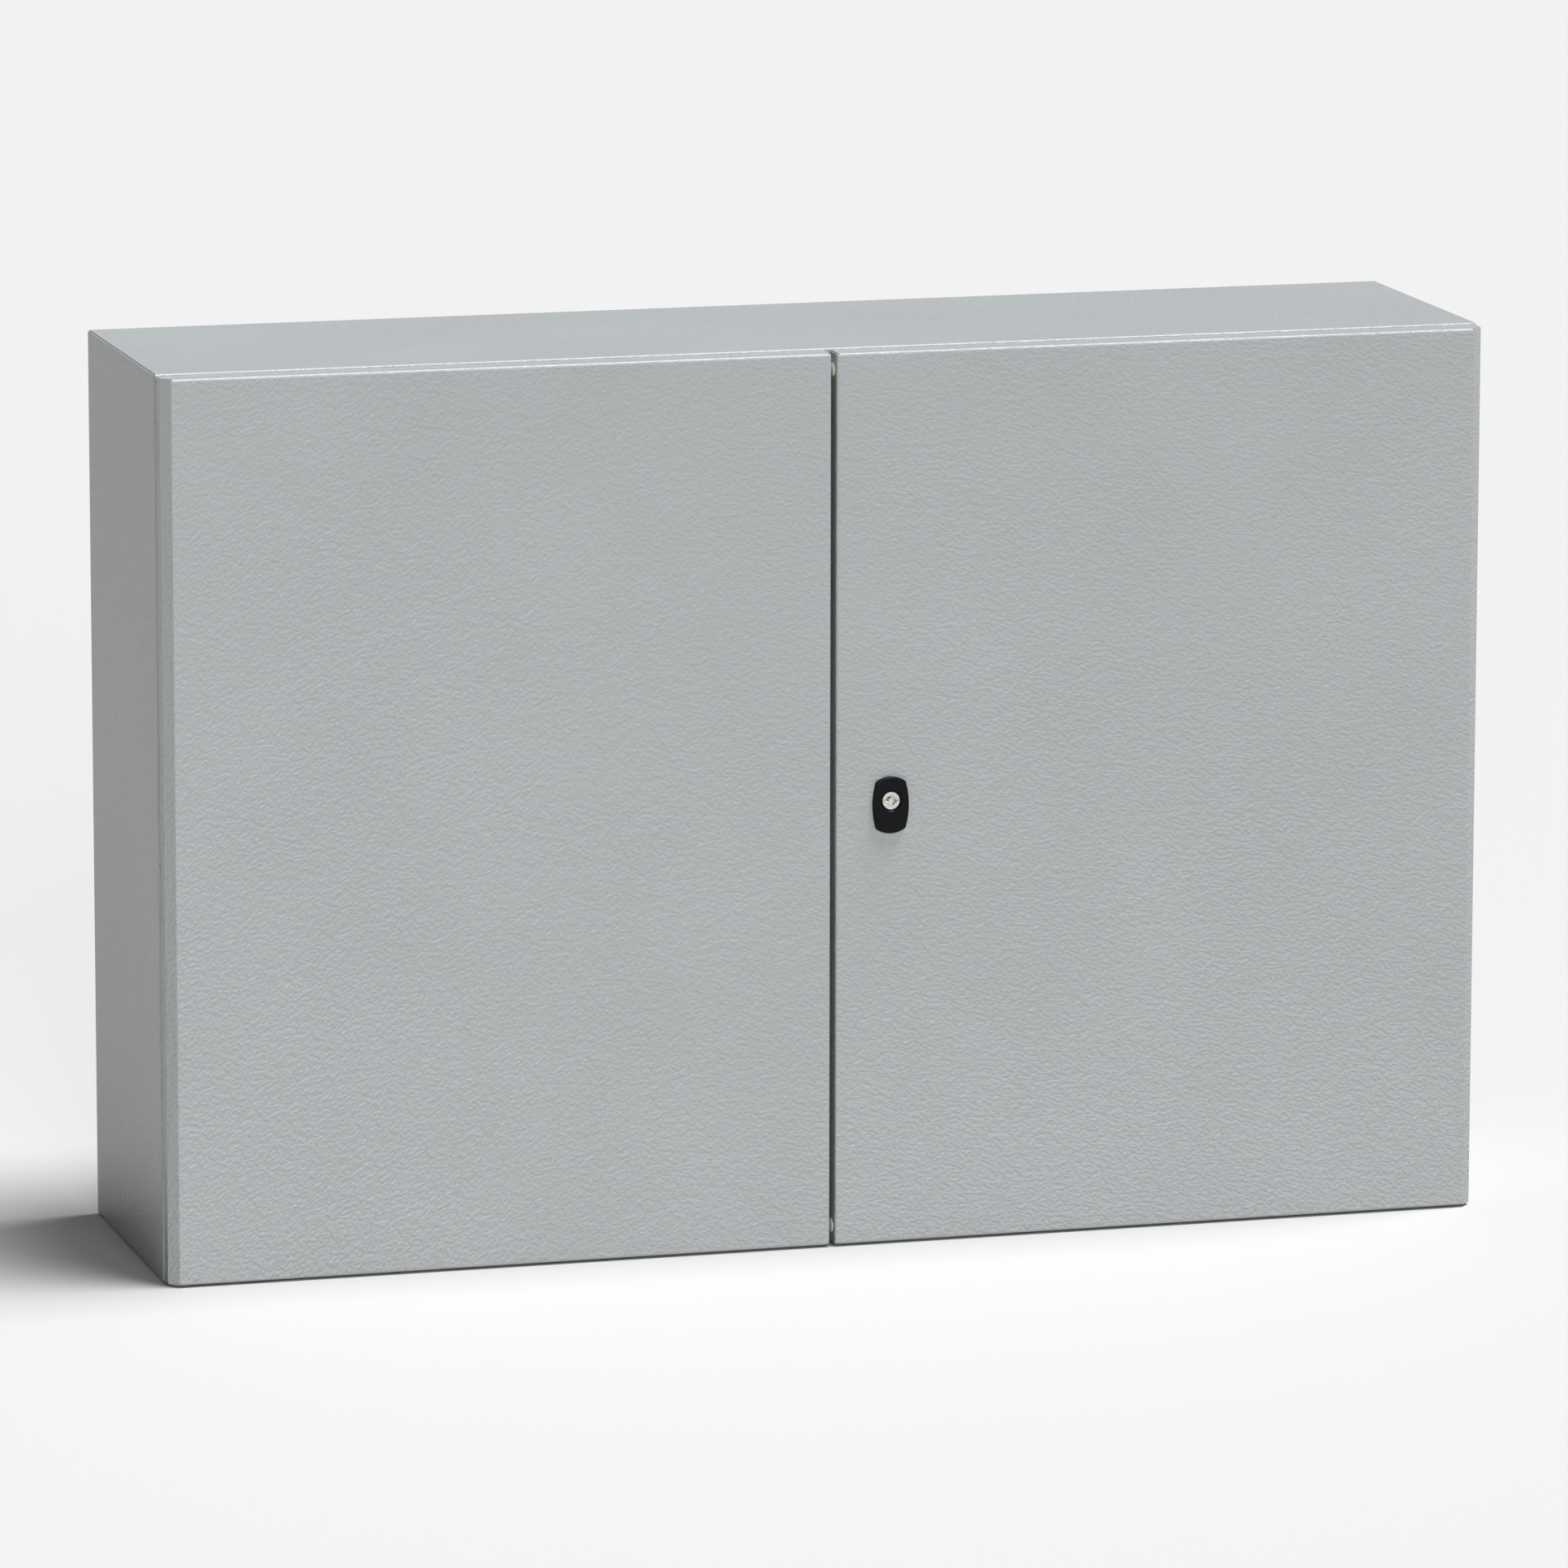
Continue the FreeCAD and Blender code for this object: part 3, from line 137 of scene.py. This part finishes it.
# ---------------------------------------------------------------- node helpers
def new_material(name):
    """A new node material, with its tree and its shader."""
    material = bpy.data.materials.new(name)
    material.use_nodes = True
    tree = material.node_tree
    return material, tree, tree.nodes["Principled BSDF"]


def node(tree, kind, values=None, **settings):
    """A node with its settings and its unlinked input values."""
    made = tree.nodes.new(kind)
    for key, value in settings.items():
        setattr(made, key, value)
    for key, value in (values or {}).items():
        if isinstance(value, bpy.types.NodeSocket):
            tree.links.new(value, made.inputs[key])
        else:
            made.inputs[key].default_value = value
    return made


def position(tree):
    """Object coordinates: the cabinet's own frame, in metres."""
    return node(tree, "ShaderNodeTexCoord").outputs["Object"]


def stretched(tree, factors):
    """Object coordinates, scaled along each axis."""
    return node(
        tree, "ShaderNodeMapping", {"Vector": position(tree), "Scale": factors}
    ).outputs["Vector"]


def noise(tree, scale, detail=2.0, roughness=0.5, distortion=0.0, vector=None):
    """Noise between 0 and 1; scale is in waves per metre."""
    return node(
        tree,
        "ShaderNodeTexNoise",
        {
            "Vector": vector or position(tree),
            "Scale": scale,
            "Detail": detail,
            "Roughness": roughness,
            "Distortion": distortion,
        },
    ).outputs["Fac"]


def ranged(tree, value, span, onto):
    """value carried from one (low, high) pair to another, and held inside it."""
    (low, high), (to_low, to_high) = span, onto
    return node(
        tree,
        "ShaderNodeMapRange",
        {"Value": value, "From Min": low, "From Max": high, "To Min": to_low, "To Max": to_high},
    ).outputs["Result"]


def eased(tree, value, low, high):
    """value spread to 0 and 1 with soft shoulders."""
    return node(
        tree,
        "ShaderNodeMapRange",
        {"Value": value, "From Min": low, "From Max": high},
        interpolation_type="SMOOTHSTEP",
    ).outputs["Result"]


def maths(tree, operation, *terms):
    """One arithmetic step."""
    made = node(tree, "ShaderNodeMath", dict(enumerate(terms)), operation=operation)
    return made.outputs["Value"]


def mixed_colour(tree, factor, a, b):
    """A colour between a and b."""
    made = node(tree, "ShaderNodeMix", data_type="RGBA")
    for socket, value in ((0, factor), (6, a), (7, b)):
        if isinstance(value, bpy.types.NodeSocket):
            tree.links.new(value, made.inputs[socket])
        else:
            made.inputs[socket].default_value = (*value, 1.0)
    return made.outputs[2]


def bumped(tree, height, strength, distance, normal=None):
    """A normal tilted by a height map; distance is the depth in metres."""
    values = {"Height": height, "Strength": strength, "Distance": distance}
    if normal is not None:
        values["Normal"] = normal
    return node(tree, "ShaderNodeBump", values).outputs["Normal"]


def finish(tree, shader, colour, gloss, normal):
    """Wires colour, roughness and normal into the shader."""
    tree.links.new(colour, shader.inputs["Base Color"])
    tree.links.new(gloss, shader.inputs["Roughness"])
    tree.links.new(normal, shader.inputs["Normal"])


def rounded(tree, radius):
    """Softened edges, as coating and deburring leave them."""
    return node(tree, "ShaderNodeBevel", {"Radius": radius}, samples=4).outputs["Normal"]


# ---------------------------------------------------------------- materials
COAT_COLOUR = (0.334, 0.3465, 0.3435)
COAT_DEEP = (0.323, 0.335, 0.332)
COAT_SPECULAR = 0.4
COAT_GRAIN = 370.0                  # wrinkles per metre
COAT_DEPTH = 0.56 * MM
COAT_ASLANT = (math.radians(38.0), (0.72, 1.0, 1.0))    # turn and stretch, on the left
COAT_LEVEL = (math.radians(-16.0), (0.66, 1.0, 1.0))    # and on the right
COAT_EDGE = 0.4 * MM

ZINC_DULL = (0.52, 0.53, 0.54)
ZINC_BRIGHT = (0.70, 0.71, 0.71)
ZINC_YELLOWED = (0.62, 0.58, 0.46)
SPANGLE_DARK = (0.51, 0.525, 0.535)
SPANGLE_LIGHT = (0.65, 0.66, 0.67)
SPANGLE_GRAIN = 190.0               # crystals per metre
CASTING_DARK = (0.33, 0.325, 0.29)
CASTING_LIGHT = (0.43, 0.42, 0.38)
NICKEL_DARK = (0.54, 0.52, 0.48)
NICKEL_LIGHT = (0.72, 0.71, 0.68)
BLACK_DEEP = (0.0030, 0.0032, 0.0036)
BLACK_FADED = (0.0050, 0.0054, 0.0060)
BLACK_SPECULAR = 0.09
IVORY_DARK = (0.74, 0.70, 0.62)
IVORY_LIGHT = (0.82, 0.785, 0.71)
IVORY_DEPTHS = (1.2 * MM, 1.0 * MM, 0.7 * MM)           # how far red, green and blue reach
FOAM_DARK = (0.030, 0.031, 0.033)
FOAM_LIGHT = (0.058, 0.060, 0.063)
FOAM_GRAIN = 1100.0                 # pores per metre
BRASS_DULL = (0.46, 0.32, 0.12)
BRASS_BRIGHT = (0.74, 0.56, 0.26)


def turned(tree, angle, factors):
    """Object coordinates, turned about Y and then scaled along each axis."""
    turn = node(
        tree,
        "ShaderNodeMapping",
        {"Vector": position(tree), "Rotation": (0.0, angle, 0.0)},
    ).outputs["Vector"]
    return node(
        tree, "ShaderNodeMapping", {"Vector": turn, "Scale": factors}
    ).outputs["Vector"]


def cells(tree, scale, output):
    """A Voronoi pattern of irregular cells; scale is in cells per metre."""
    return node(
        tree,
        "ShaderNodeTexVoronoi",
        {"Vector": position(tree), "Scale": scale, "Randomness": 1.0},
    ).outputs[output]


def coat_strength(tree):
    """The wrinkle is shallow near the top left of the cabinet and deeper low and to the right, and
    shallower on the roof and the sides than on the doors and their bevels."""
    axes = node(tree, "ShaderNodeSeparateXYZ", {"Vector": position(tree)}).outputs
    by_height = ranged(tree, axes["Z"], (0.0, 0.8), (1.0, 0.45))
    by_width = ranged(tree, axes["X"], (-0.6, 0.6), (0.84, 1.10))
    patches = ranged(tree, noise(tree, 5.0), (0.3, 0.7), (0.88, 1.12))
    normal = node(tree, "ShaderNodeTexCoord").outputs["Normal"]
    facing = node(tree, "ShaderNodeSeparateXYZ", {"Vector": normal}).outputs["Y"]
    facing = maths(tree, "ABSOLUTE", facing)
    on_doors = ranged(tree, facing, (0.15, 0.6), (0.35, 1.0))
    on_bevels = ranged(tree, facing, (0.75, 0.98), (1.15, 1.0))
    by_face = maths(tree, "MULTIPLY", on_doors, on_bevels)
    strength = maths(tree, "MULTIPLY", by_height, by_width)
    return maths(tree, "MULTIPLY", maths(tree, "MULTIPLY", strength, patches), by_face)


def coat_wrinkle(tree):
    """The leathery wrinkle between 0 and 1, aslant on the left and nearly level on the right."""
    aslant, level = (
        noise(
            tree, COAT_GRAIN, detail=1.0, roughness=0.4, distortion=0.15,
            vector=turned(tree, *direction),
        )
        for direction in (COAT_ASLANT, COAT_LEVEL)
    )
    across_width = node(tree, "ShaderNodeSeparateXYZ", {"Vector": position(tree)}).outputs["X"]
    share = ranged(tree, across_width, (-0.45, 0.15), (0.0, 1.0))
    blend = node(tree, "ShaderNodeMix", {"Factor": share, "A": aslant, "B": level})
    return eased(tree, blend.outputs["Result"], 0.24, 0.76)


def textured_coat():
    """Light grey polyester powder coat with a leathery wrinkle."""
    material, tree, shader = new_material("textured_coat")
    wrinkle = coat_wrinkle(tree)
    fine = noise(tree, COAT_GRAIN * 3.0, detail=1.0)
    swirl = noise(tree, COAT_GRAIN * 0.35, detail=1.0)
    height = maths(tree, "MULTIPLY_ADD", fine, 0.15, wrinkle)
    height = maths(tree, "MULTIPLY_ADD", swirl, 1.2, height)
    height = maths(tree, "MULTIPLY", height, coat_strength(tree))
    normal = bumped(tree, height, strength=1.0, distance=COAT_DEPTH, normal=rounded(tree, COAT_EDGE))
    shade = ranged(tree, noise(tree, 6.0, detail=3.0), (0.35, 0.65), (0.0, 1.0))
    colour = mixed_colour(tree, shade, COAT_DEEP, COAT_COLOUR)
    gloss = ranged(tree, wrinkle, (0.0, 1.0), (0.44, 0.34))
    shader.inputs["Specular IOR Level"].default_value = COAT_SPECULAR
    finish(tree, shader, colour, gloss, normal)
    return material


def zinc_plating():
    """Bright zinc plating: drawn lines, a cloudy passivation and darker handled spots."""
    material, tree, shader = new_material("zinc_plating")
    drawn = stretched(tree, (9.0, 9.0, 0.8))
    lines = noise(tree, 60.0, detail=4.0, roughness=0.6, distortion=0.2, vector=drawn)
    clouds = noise(tree, 45.0, detail=3.0, roughness=0.6, distortion=0.5)
    warm = ranged(tree, noise(tree, 22.0), (0.4, 0.65), (0.0, 1.0))
    colour = mixed_colour(tree, clouds, ZINC_DULL, ZINC_BRIGHT)
    colour = mixed_colour(tree, maths(tree, "MULTIPLY", warm, 0.25), colour, ZINC_YELLOWED)
    gloss = ranged(tree, clouds, (0.3, 0.7), (0.26, 0.42))
    height = maths(tree, "MULTIPLY_ADD", lines, 0.6, clouds)
    edges = rounded(tree, 0.25 * MM)
    normal = bumped(tree, height, strength=0.5, distance=0.06 * MM, normal=edges)
    shader.inputs["Metallic"].default_value = 1.0
    finish(tree, shader, colour, gloss, normal)
    return material


def galvanised():
    """Hot-dip galvanised sheet: crystals of slightly different greys, in cloudy patches."""
    material, tree, shader = new_material("galvanised_spangle")
    colours = cells(tree, SPANGLE_GRAIN, "Color")
    tone = node(tree, "ShaderNodeSeparateColor", {"Color": colours}).outputs["Red"]
    bloom = noise(tree, 9.0, detail=4.0, roughness=0.6, distortion=0.3)
    tone = maths(tree, "MULTIPLY_ADD", tone, 0.65, maths(tree, "MULTIPLY", bloom, 0.35))
    rolled = stretched(tree, (1.0, 1.0, 14.0))
    scratch = noise(tree, 30.0, detail=5.0, roughness=0.65, distortion=0.1, vector=rolled)
    colour = mixed_colour(tree, tone, SPANGLE_DARK, SPANGLE_LIGHT)
    gloss = ranged(tree, tone, (0.0, 1.0), (0.42, 0.54))
    height = maths(tree, "MULTIPLY_ADD", scratch, 0.5, maths(tree, "MULTIPLY", tone, 0.4))
    edges = rounded(tree, 0.3 * MM)
    normal = bumped(tree, height, strength=0.35, distance=0.05 * MM, normal=edges)
    shader.inputs["Metallic"].default_value = 1.0
    finish(tree, shader, colour, gloss, normal)
    return material


def zinc_casting():
    """Bare zinc die casting: a warm matt grey skin, mottled by its flow, with fine pits."""
    material, tree, shader = new_material("zinc_die_casting")
    skin = noise(tree, 900.0, detail=3.0, roughness=0.6)
    flow = noise(tree, 120.0, detail=3.0, roughness=0.6, distortion=1.2)
    colour = mixed_colour(tree, flow, CASTING_DARK, CASTING_LIGHT)
    gloss = ranged(tree, skin, (0.3, 0.7), (0.42, 0.58))
    edges = rounded(tree, 0.35 * MM)
    normal = bumped(tree, skin, strength=0.6, distance=0.08 * MM, normal=edges)
    shader.inputs["Metallic"].default_value = 0.55
    finish(tree, shader, colour, gloss, normal)
    return material


def satin_nickel():
    """Satin nickel plating on the lock's castings, turned and lightly handled."""
    material, tree, shader = new_material("satin_nickel")
    along_axis = stretched(tree, (6.0, 0.6, 6.0))
    rings = noise(tree, 300.0, detail=4.0, roughness=0.6, vector=along_axis)
    stain = noise(tree, 160.0, detail=3.0, roughness=0.6, distortion=0.8)
    colour = mixed_colour(tree, stain, NICKEL_DARK, NICKEL_LIGHT)
    gloss = ranged(tree, rings, (0.3, 0.7), (0.22, 0.40))
    edges = rounded(tree, 0.25 * MM)
    normal = bumped(tree, rings, strength=0.4, distance=0.05 * MM, normal=edges)
    shader.inputs["Metallic"].default_value = 1.0
    finish(tree, shader, colour, gloss, normal)
    return material


def black_moulding():
    """Black glass-filled polyamide with a fine spark-eroded grain and dulled patches."""
    material, tree, shader = new_material("black_moulding")
    grain = noise(tree, 1600.0, roughness=0.6)
    patches = noise(tree, 90.0, detail=3.0, roughness=0.6)
    colour = mixed_colour(tree, patches, BLACK_DEEP, BLACK_FADED)
    gloss = ranged(tree, patches, (0.3, 0.7), (0.34, 0.46))
    edges = rounded(tree, 0.3 * MM)
    normal = bumped(tree, grain, strength=0.5, distance=0.04 * MM, normal=edges)
    shader.inputs["Specular IOR Level"].default_value = BLACK_SPECULAR
    finish(tree, shader, colour, gloss, normal)
    return material


def ivory_moulding():
    """Cream polyamide, faintly cloudy and a little translucent."""
    material, tree, shader = new_material("ivory_moulding")
    clouds = noise(tree, 260.0, detail=3.0, roughness=0.6, distortion=0.6)
    grain = noise(tree, 1800.0)
    colour = mixed_colour(tree, clouds, IVORY_DARK, IVORY_LIGHT)
    gloss = ranged(tree, clouds, (0.3, 0.7), (0.34, 0.46))
    edges = rounded(tree, 0.2 * MM)
    normal = bumped(tree, grain, strength=0.3, distance=0.03 * MM, normal=edges)
    shader.inputs["Subsurface Weight"].default_value = 0.15
    shader.inputs["Subsurface Radius"].default_value = IVORY_DEPTHS
    shader.inputs["Subsurface Scale"].default_value = 1.0
    finish(tree, shader, colour, gloss, normal)
    return material


def seal_foam():
    """Dark foamed polyurethane: a matt skin with pores and pinholes."""
    material, tree, shader = new_material("seal_foam_skin")
    pores = cells(tree, FOAM_GRAIN, "Distance")
    flow = noise(tree, 180.0, detail=3.0, roughness=0.6, distortion=0.6)
    colour = mixed_colour(tree, flow, FOAM_DARK, FOAM_LIGHT)
    gloss = ranged(tree, pores, (0.1, 0.6), (0.92, 0.70))
    height = maths(tree, "MULTIPLY_ADD", flow, 0.7, pores)
    normal = bumped(tree, height, strength=0.8, distance=0.15 * MM)
    finish(tree, shader, colour, gloss, normal)
    return material


def plain_brass():
    """Plain brass, dulled in patches."""
    material, tree, shader = new_material("plain_brass")
    dull = noise(tree, 240.0, detail=4.0, roughness=0.65, distortion=0.8)
    colour = mixed_colour(tree, dull, BRASS_DULL, BRASS_BRIGHT)
    gloss = ranged(tree, dull, (0.3, 0.7), (0.24, 0.44))
    edges = rounded(tree, 0.2 * MM)
    normal = bumped(tree, dull, strength=0.4, distance=0.04 * MM, normal=edges)
    shader.inputs["Metallic"].default_value = 1.0
    finish(tree, shader, colour, gloss, normal)
    return material


# ---------------------------------------------------------------- mesh helpers
SHARP = math.radians(35.0)          # edges sharper than this stay sharp


def new_piece(name, bm, body, finish_name, replaces=()):
    """A smooth-shaded piece that rides on a body, in the finish of a slot."""
    bmesh.ops.recalc_face_normals(bm, faces=bm.faces)
    mesh = bpy.data.meshes.new(name)
    bm.to_mesh(mesh)
    bm.free()
    mesh.shade_smooth()
    mesh.set_sharp_from_angle(angle=SHARP)
    piece = bpy.data.objects.new(name, mesh)
    bpy.context.scene.collection.objects.link(piece)
    mesh.materials.append(FINISHES[finish_name])
    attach(piece, body)
    if replaces:
        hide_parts(*replaces)
    return piece


def skin_rings(bm, rings, closed=False):
    """Faces between successive rings of points, capped at both ends unless closed."""
    loops = [[bm.verts.new(p) for p in ring] for ring in rings]
    count = len(loops[0])
    pairs = list(zip(loops, loops[1:]))
    if closed:
        pairs.append((loops[-1], loops[0]))
    else:
        bm.faces.new(loops[0][::-1])
        bm.faces.new(loops[-1])
    for a, b in pairs:
        for k in range(count):
            m = (k + 1) % count
            bm.faces.new((a[k], a[m], b[m], b[k]))


def across(axis):
    """Two unit vectors square to an axis."""
    first = axis.orthogonal().normalized()
    return first, axis.cross(first)


def lathe(bm, base, axis, profile, segments=48):
    """A turned solid: profile is (distance along axis, radius) pairs."""
    u, v = across(axis)
    rings = []
    for along, radius in profile:
        middle = base + axis * along
        rings.append([
            middle + (u * math.cos(t) + v * math.sin(t)) * radius
            for t in (2 * math.pi * k / segments for k in range(segments))
        ])
    skin_rings(bm, rings)


THREAD_STEPS = 6                    # rings in one turn of a thread
THREAD_SEGMENTS = 26
THREAD_DEPTH = 0.61                 # of the pitch
THREAD_RUN_OUT = 1.5                # turns over which the thread starts
STUD_CHAMFER = 0.8 * MM
FOOT_EDGE = 0.3 * MM                # washer face under a hexagonal foot
FOOT_CHAMFER = 0.5 * MM


def threaded_stud(bm, base, axis, radius, length, pitch):
    """A stud with a real helical thread, relieved at its foot and chamfered at its tip."""
    u, v = across(axis)
    count = int(round(length / pitch * THREAD_STEPS))
    rings = []
    for i in range(count + 1):
        along = length * i / count
        limit = radius - max(0.0, along - (length - STUD_CHAMFER))
        run_out = min(1.0, along / (THREAD_RUN_OUT * pitch))
        ring = []
        for k in range(THREAD_SEGMENTS):
            turn = k / THREAD_SEGMENTS
            wave = 0.5 - 0.5 * math.cos(2 * math.pi * (along / pitch - turn))
            r = min(limit, radius - THREAD_DEPTH * pitch * wave * run_out)
            t = 2 * math.pi * turn
            ring.append(base + axis * along + (u * math.cos(t) + v * math.sin(t)) * r)
        rings.append(ring)
    skin_rings(bm, rings)


def hexagon_foot(bm, base, axis, across_flats, height):
    """A hexagonal foot with a washer face and a chamfered top."""
    u, v = across(axis)
    outer = across_flats / math.sqrt(3)
    profile = (
        (0.0, FOOT_EDGE), (FOOT_EDGE, 0.0), (height - FOOT_CHAMFER, 0.0), (height, FOOT_CHAMFER),
    )
    rings = []
    for along, shrink in profile:
        rings.append([
            base + axis * along + (u * math.cos(t) + v * math.sin(t)) * (outer - shrink)
            for t in (math.pi * k / 3 for k in range(6))
        ])
    skin_rings(bm, rings)


# ---------------------------------------------------------------- door seals
SEAL_HALF = 5.0 * MM
SEAL_STEP = 12.0 * MM               # between the bead's sections
SEAL_SECTION = 14                   # points on the bead's dome
SEAL_CORNER = 11.0 * MM
SEAL_CORNER_STEPS = 8
SEAL_SEEDS = {"left": 11, "right": 12}
SEAL_WIDTH_SHARE = (0.965, 0.03)    # mean and waver, as shares of the CAD seal
SEAL_RISE_SHARE = (0.97, 0.025)
SEAL_FULLNESS = 0.62                # under 1 makes the dome fuller than a half circle


def rounded_route(x0, x1, z0, z1, radius, step):
    """Points and outward directions of a rounded rectangle in the XZ plane."""
    points = []
    corners = ((x1, z0, -90), (x1, z1, 0), (x0, z1, 90), (x0, z0, 180))
    for i, (cx, cz, start) in enumerate(corners):
        inner_x = cx - math.copysign(radius, cx - (x0 + x1) / 2)
        inner_z = cz - math.copysign(radius, cz - (z0 + z1) / 2)
        for k in range(SEAL_CORNER_STEPS + 1):
            t = math.radians(start + 90 * k / SEAL_CORNER_STEPS)
            out = Vector((math.cos(t), 0, math.sin(t)))
            points.append((Vector((inner_x, 0, inner_z)) + out * radius, out))
        following = corners[(i + 1) % 4]
        end = Vector((
            following[0] - math.copysign(radius, following[0] - (x0 + x1) / 2),
            0,
            following[1] - math.copysign(radius, following[1] - (z0 + z1) / 2),
        ))
        t = math.radians(following[2])
        end += Vector((math.cos(t), 0, math.sin(t))) * radius
        last, out = points[-1]
        count = int((end - last).length / step)
        for k in range(1, count):
            points.append((last.lerp(end, k / count), out))
    return points


def door_seal(side):
    """Foamed bead, domed, laid in one closed run of slightly uneven width and height."""
    node_name = side + "_door_gasket"
    low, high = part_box(node_name)
    base_y, top_y = low.y, high.y
    route = rounded_route(
        low.x + SEAL_HALF, high.x - SEAL_HALF, low.z + SEAL_HALF, high.z - SEAL_HALF,
        SEAL_CORNER, SEAL_STEP,
    )
    rng = random.Random(SEAL_SEEDS[side])
    waver = [rng.uniform(-1, 1) for _ in route]
    rings = []
    for i, (middle, out) in enumerate(route):
        drift = (waver[i - 1] + waver[i] + waver[(i + 1) % len(route)]) / 3
        half = SEAL_HALF * (SEAL_WIDTH_SHARE[0] + SEAL_WIDTH_SHARE[1] * drift)
        rise = (top_y - base_y) * (SEAL_RISE_SHARE[0] + SEAL_RISE_SHARE[1] * drift)
        ring = []
        for k in range(SEAL_SECTION + 1):
            t = math.pi * k / SEAL_SECTION
            swell = abs(math.sin(t)) ** SEAL_FULLNESS
            ring.append(middle + out * half * math.cos(t) + Vector((0, base_y + rise * swell, 0)))
        rings.append(ring)
    bm = bmesh.new()
    skin_rings(bm, rings, closed=True)
    new_piece(side + "_door_seal", bm, side + "_door", "seal_foam", (node_name,))


# ---------------------------------------------------------------- plugs in the free edges
PLUG_RADIUS = 6.25
PLUG_PROFILE = (                    # millimetres: out of the door's edge, radius
    (-4.0, 2.4), (-4.0, 3.4), (-3.7, 3.75), (-2.0, 5.0), (-1.65, 5.05), (-1.5, 4.45), (0.0, 4.45),
    (0.0, 6.15), (0.1, PLUG_RADIUS), (0.35, PLUG_RADIUS), (0.55, 6.12), (0.78, 5.7), (0.97, 4.9),
    (1.1, 3.8), (1.17, 2.4), (1.19, 1.1), (1.1, 0.8), (1.08, 0.25),
)


def edge_plugs(side, outward):
    """Two domed plugs with a gate mark in the middle."""
    node_name = side + "_door_edge_plugs"
    low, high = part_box(node_name)
    door_low, door_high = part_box(side + "_door_panel")
    face = door_high.x if outward > 0 else door_low.x
    depth = (low.y + high.y) / 2
    bm = bmesh.new()
    for z in (low.z + PLUG_RADIUS * MM, high.z - PLUG_RADIUS * MM):
        profile = [(along * MM, radius * MM) for along, radius in PLUG_PROFILE]
        lathe(bm, Vector((face, depth, z)), Vector((outward, 0, 0)), profile)
    new_piece(side + "_door_domed_plugs", bm, side + "_door", "ivory_plastic", (node_name,))


# ---------------------------------------------------------------- studs
M8 = {"radius": 4.0 * MM, "pitch": 1.25 * MM}
M6 = {"radius": 3.0 * MM, "pitch": 1.0 * MM}
SAME_POINT = 1e-6


def islands(node_name):
    """Lowest and highest corner of each separate solid of a CAD node."""
    bm = bmesh.new()
    bm.from_mesh(NODES[node_name].data)
    bmesh.ops.remove_doubles(bm, verts=bm.verts, dist=SAME_POINT)
    todo = set(bm.verts)
    found = []
    while todo:
        stack = [todo.pop()]
        points = []
        while stack:
            vert = stack.pop()
            points.append(vert.co.copy())
            for edge in vert.link_edges:
                other = edge.other_vert(vert)
                if other in todo:
                    todo.remove(other)
                    stack.append(other)
        found.append((
            Vector([min(p[i] for p in points) for i in range(3)]),
            Vector([max(p[i] for p in points) for i in range(3)]),
        ))
    bm.free()
    return sorted(found, key=lambda pair: tuple(pair[0]))


def plate_studs():
    """Threaded M8 studs behind the mounting plate."""
    bm = bmesh.new()
    for low, high in islands("mounting_plate_studs"):
        middle = (low + high) / 2
        base = Vector((middle.x, high.y, middle.z))
        threaded_stud(bm, base, Vector((0, -1, 0)), length=high.y - low.y, **M8)
    new_piece(
        "mounting_plate_threads", bm, "cabinet", "zinc_plated_steel", ("mounting_plate_studs",)
    )


def gland_studs():
    """Threaded M6 studs round the cable entries."""
    bm = bmesh.new()
    for low, high in islands("gland_plate_studs"):
        middle = (low + high) / 2
        base = Vector((middle.x, middle.y, low.z))
        threaded_stud(bm, base, Vector((0, 0, 1)), length=high.z - low.z, **M6)
    new_piece("gland_plate_threads", bm, "cabinet", "zinc_plated_steel", ("gland_plate_studs",))


def earthing_stud(node_name, body, axis, thread, across_flats, foot):
    """An earth stud: hexagonal foot and thread."""
    low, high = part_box(node_name)
    middle = (low + high) / 2
    along = [abs(c) > 0.5 for c in axis].index(True)
    base = middle.copy()
    base[along] = low[along]
    length = high[along] - low[along]
    bm = bmesh.new()
    hexagon_foot(bm, base, axis, across_flats, foot)
    threaded_stud(bm, base + axis * foot, axis, length=length - foot, **thread)
    new_piece(node_name + "_threaded", bm, body, "brass_stud", (node_name,))


# ---------------------------------------------------------------- build
set_camera()
set_lights()
set_floor()

FINISHES = {
    "grey_powder_coat": textured_coat(),
    "zinc_plated_steel": zinc_plating(),
    "galvanised_sheet": galvanised(),
    "zinc_casting": zinc_casting(),
    "nickel_casting": satin_nickel(),
    "black_plastic": black_moulding(),
    "ivory_plastic": ivory_moulding(),
    "seal_foam": seal_foam(),
    "brass_stud": plain_brass(),
}
for subpart in frame["record"]["subparts"]:
    for place in NODES[subpart["node"]].material_slots:
        place.material = FINISHES[subpart["material_slot"]]

for side, outward in (("left", 1), ("right", -1)):
    door_seal(side)
    edge_plugs(side, outward)
    earthing_stud(
        side + "_door_earth_stud", side + "_door", Vector((0, 1, 0)),
        thread=M6, across_flats=10.0 * MM, foot=4.0 * MM,
    )
earthing_stud(
    "earth_stud", "cabinet", Vector((0, 0, 1)), thread=M8, across_flats=13.0 * MM, foot=6.0 * MM
)
plate_studs()
gland_studs()
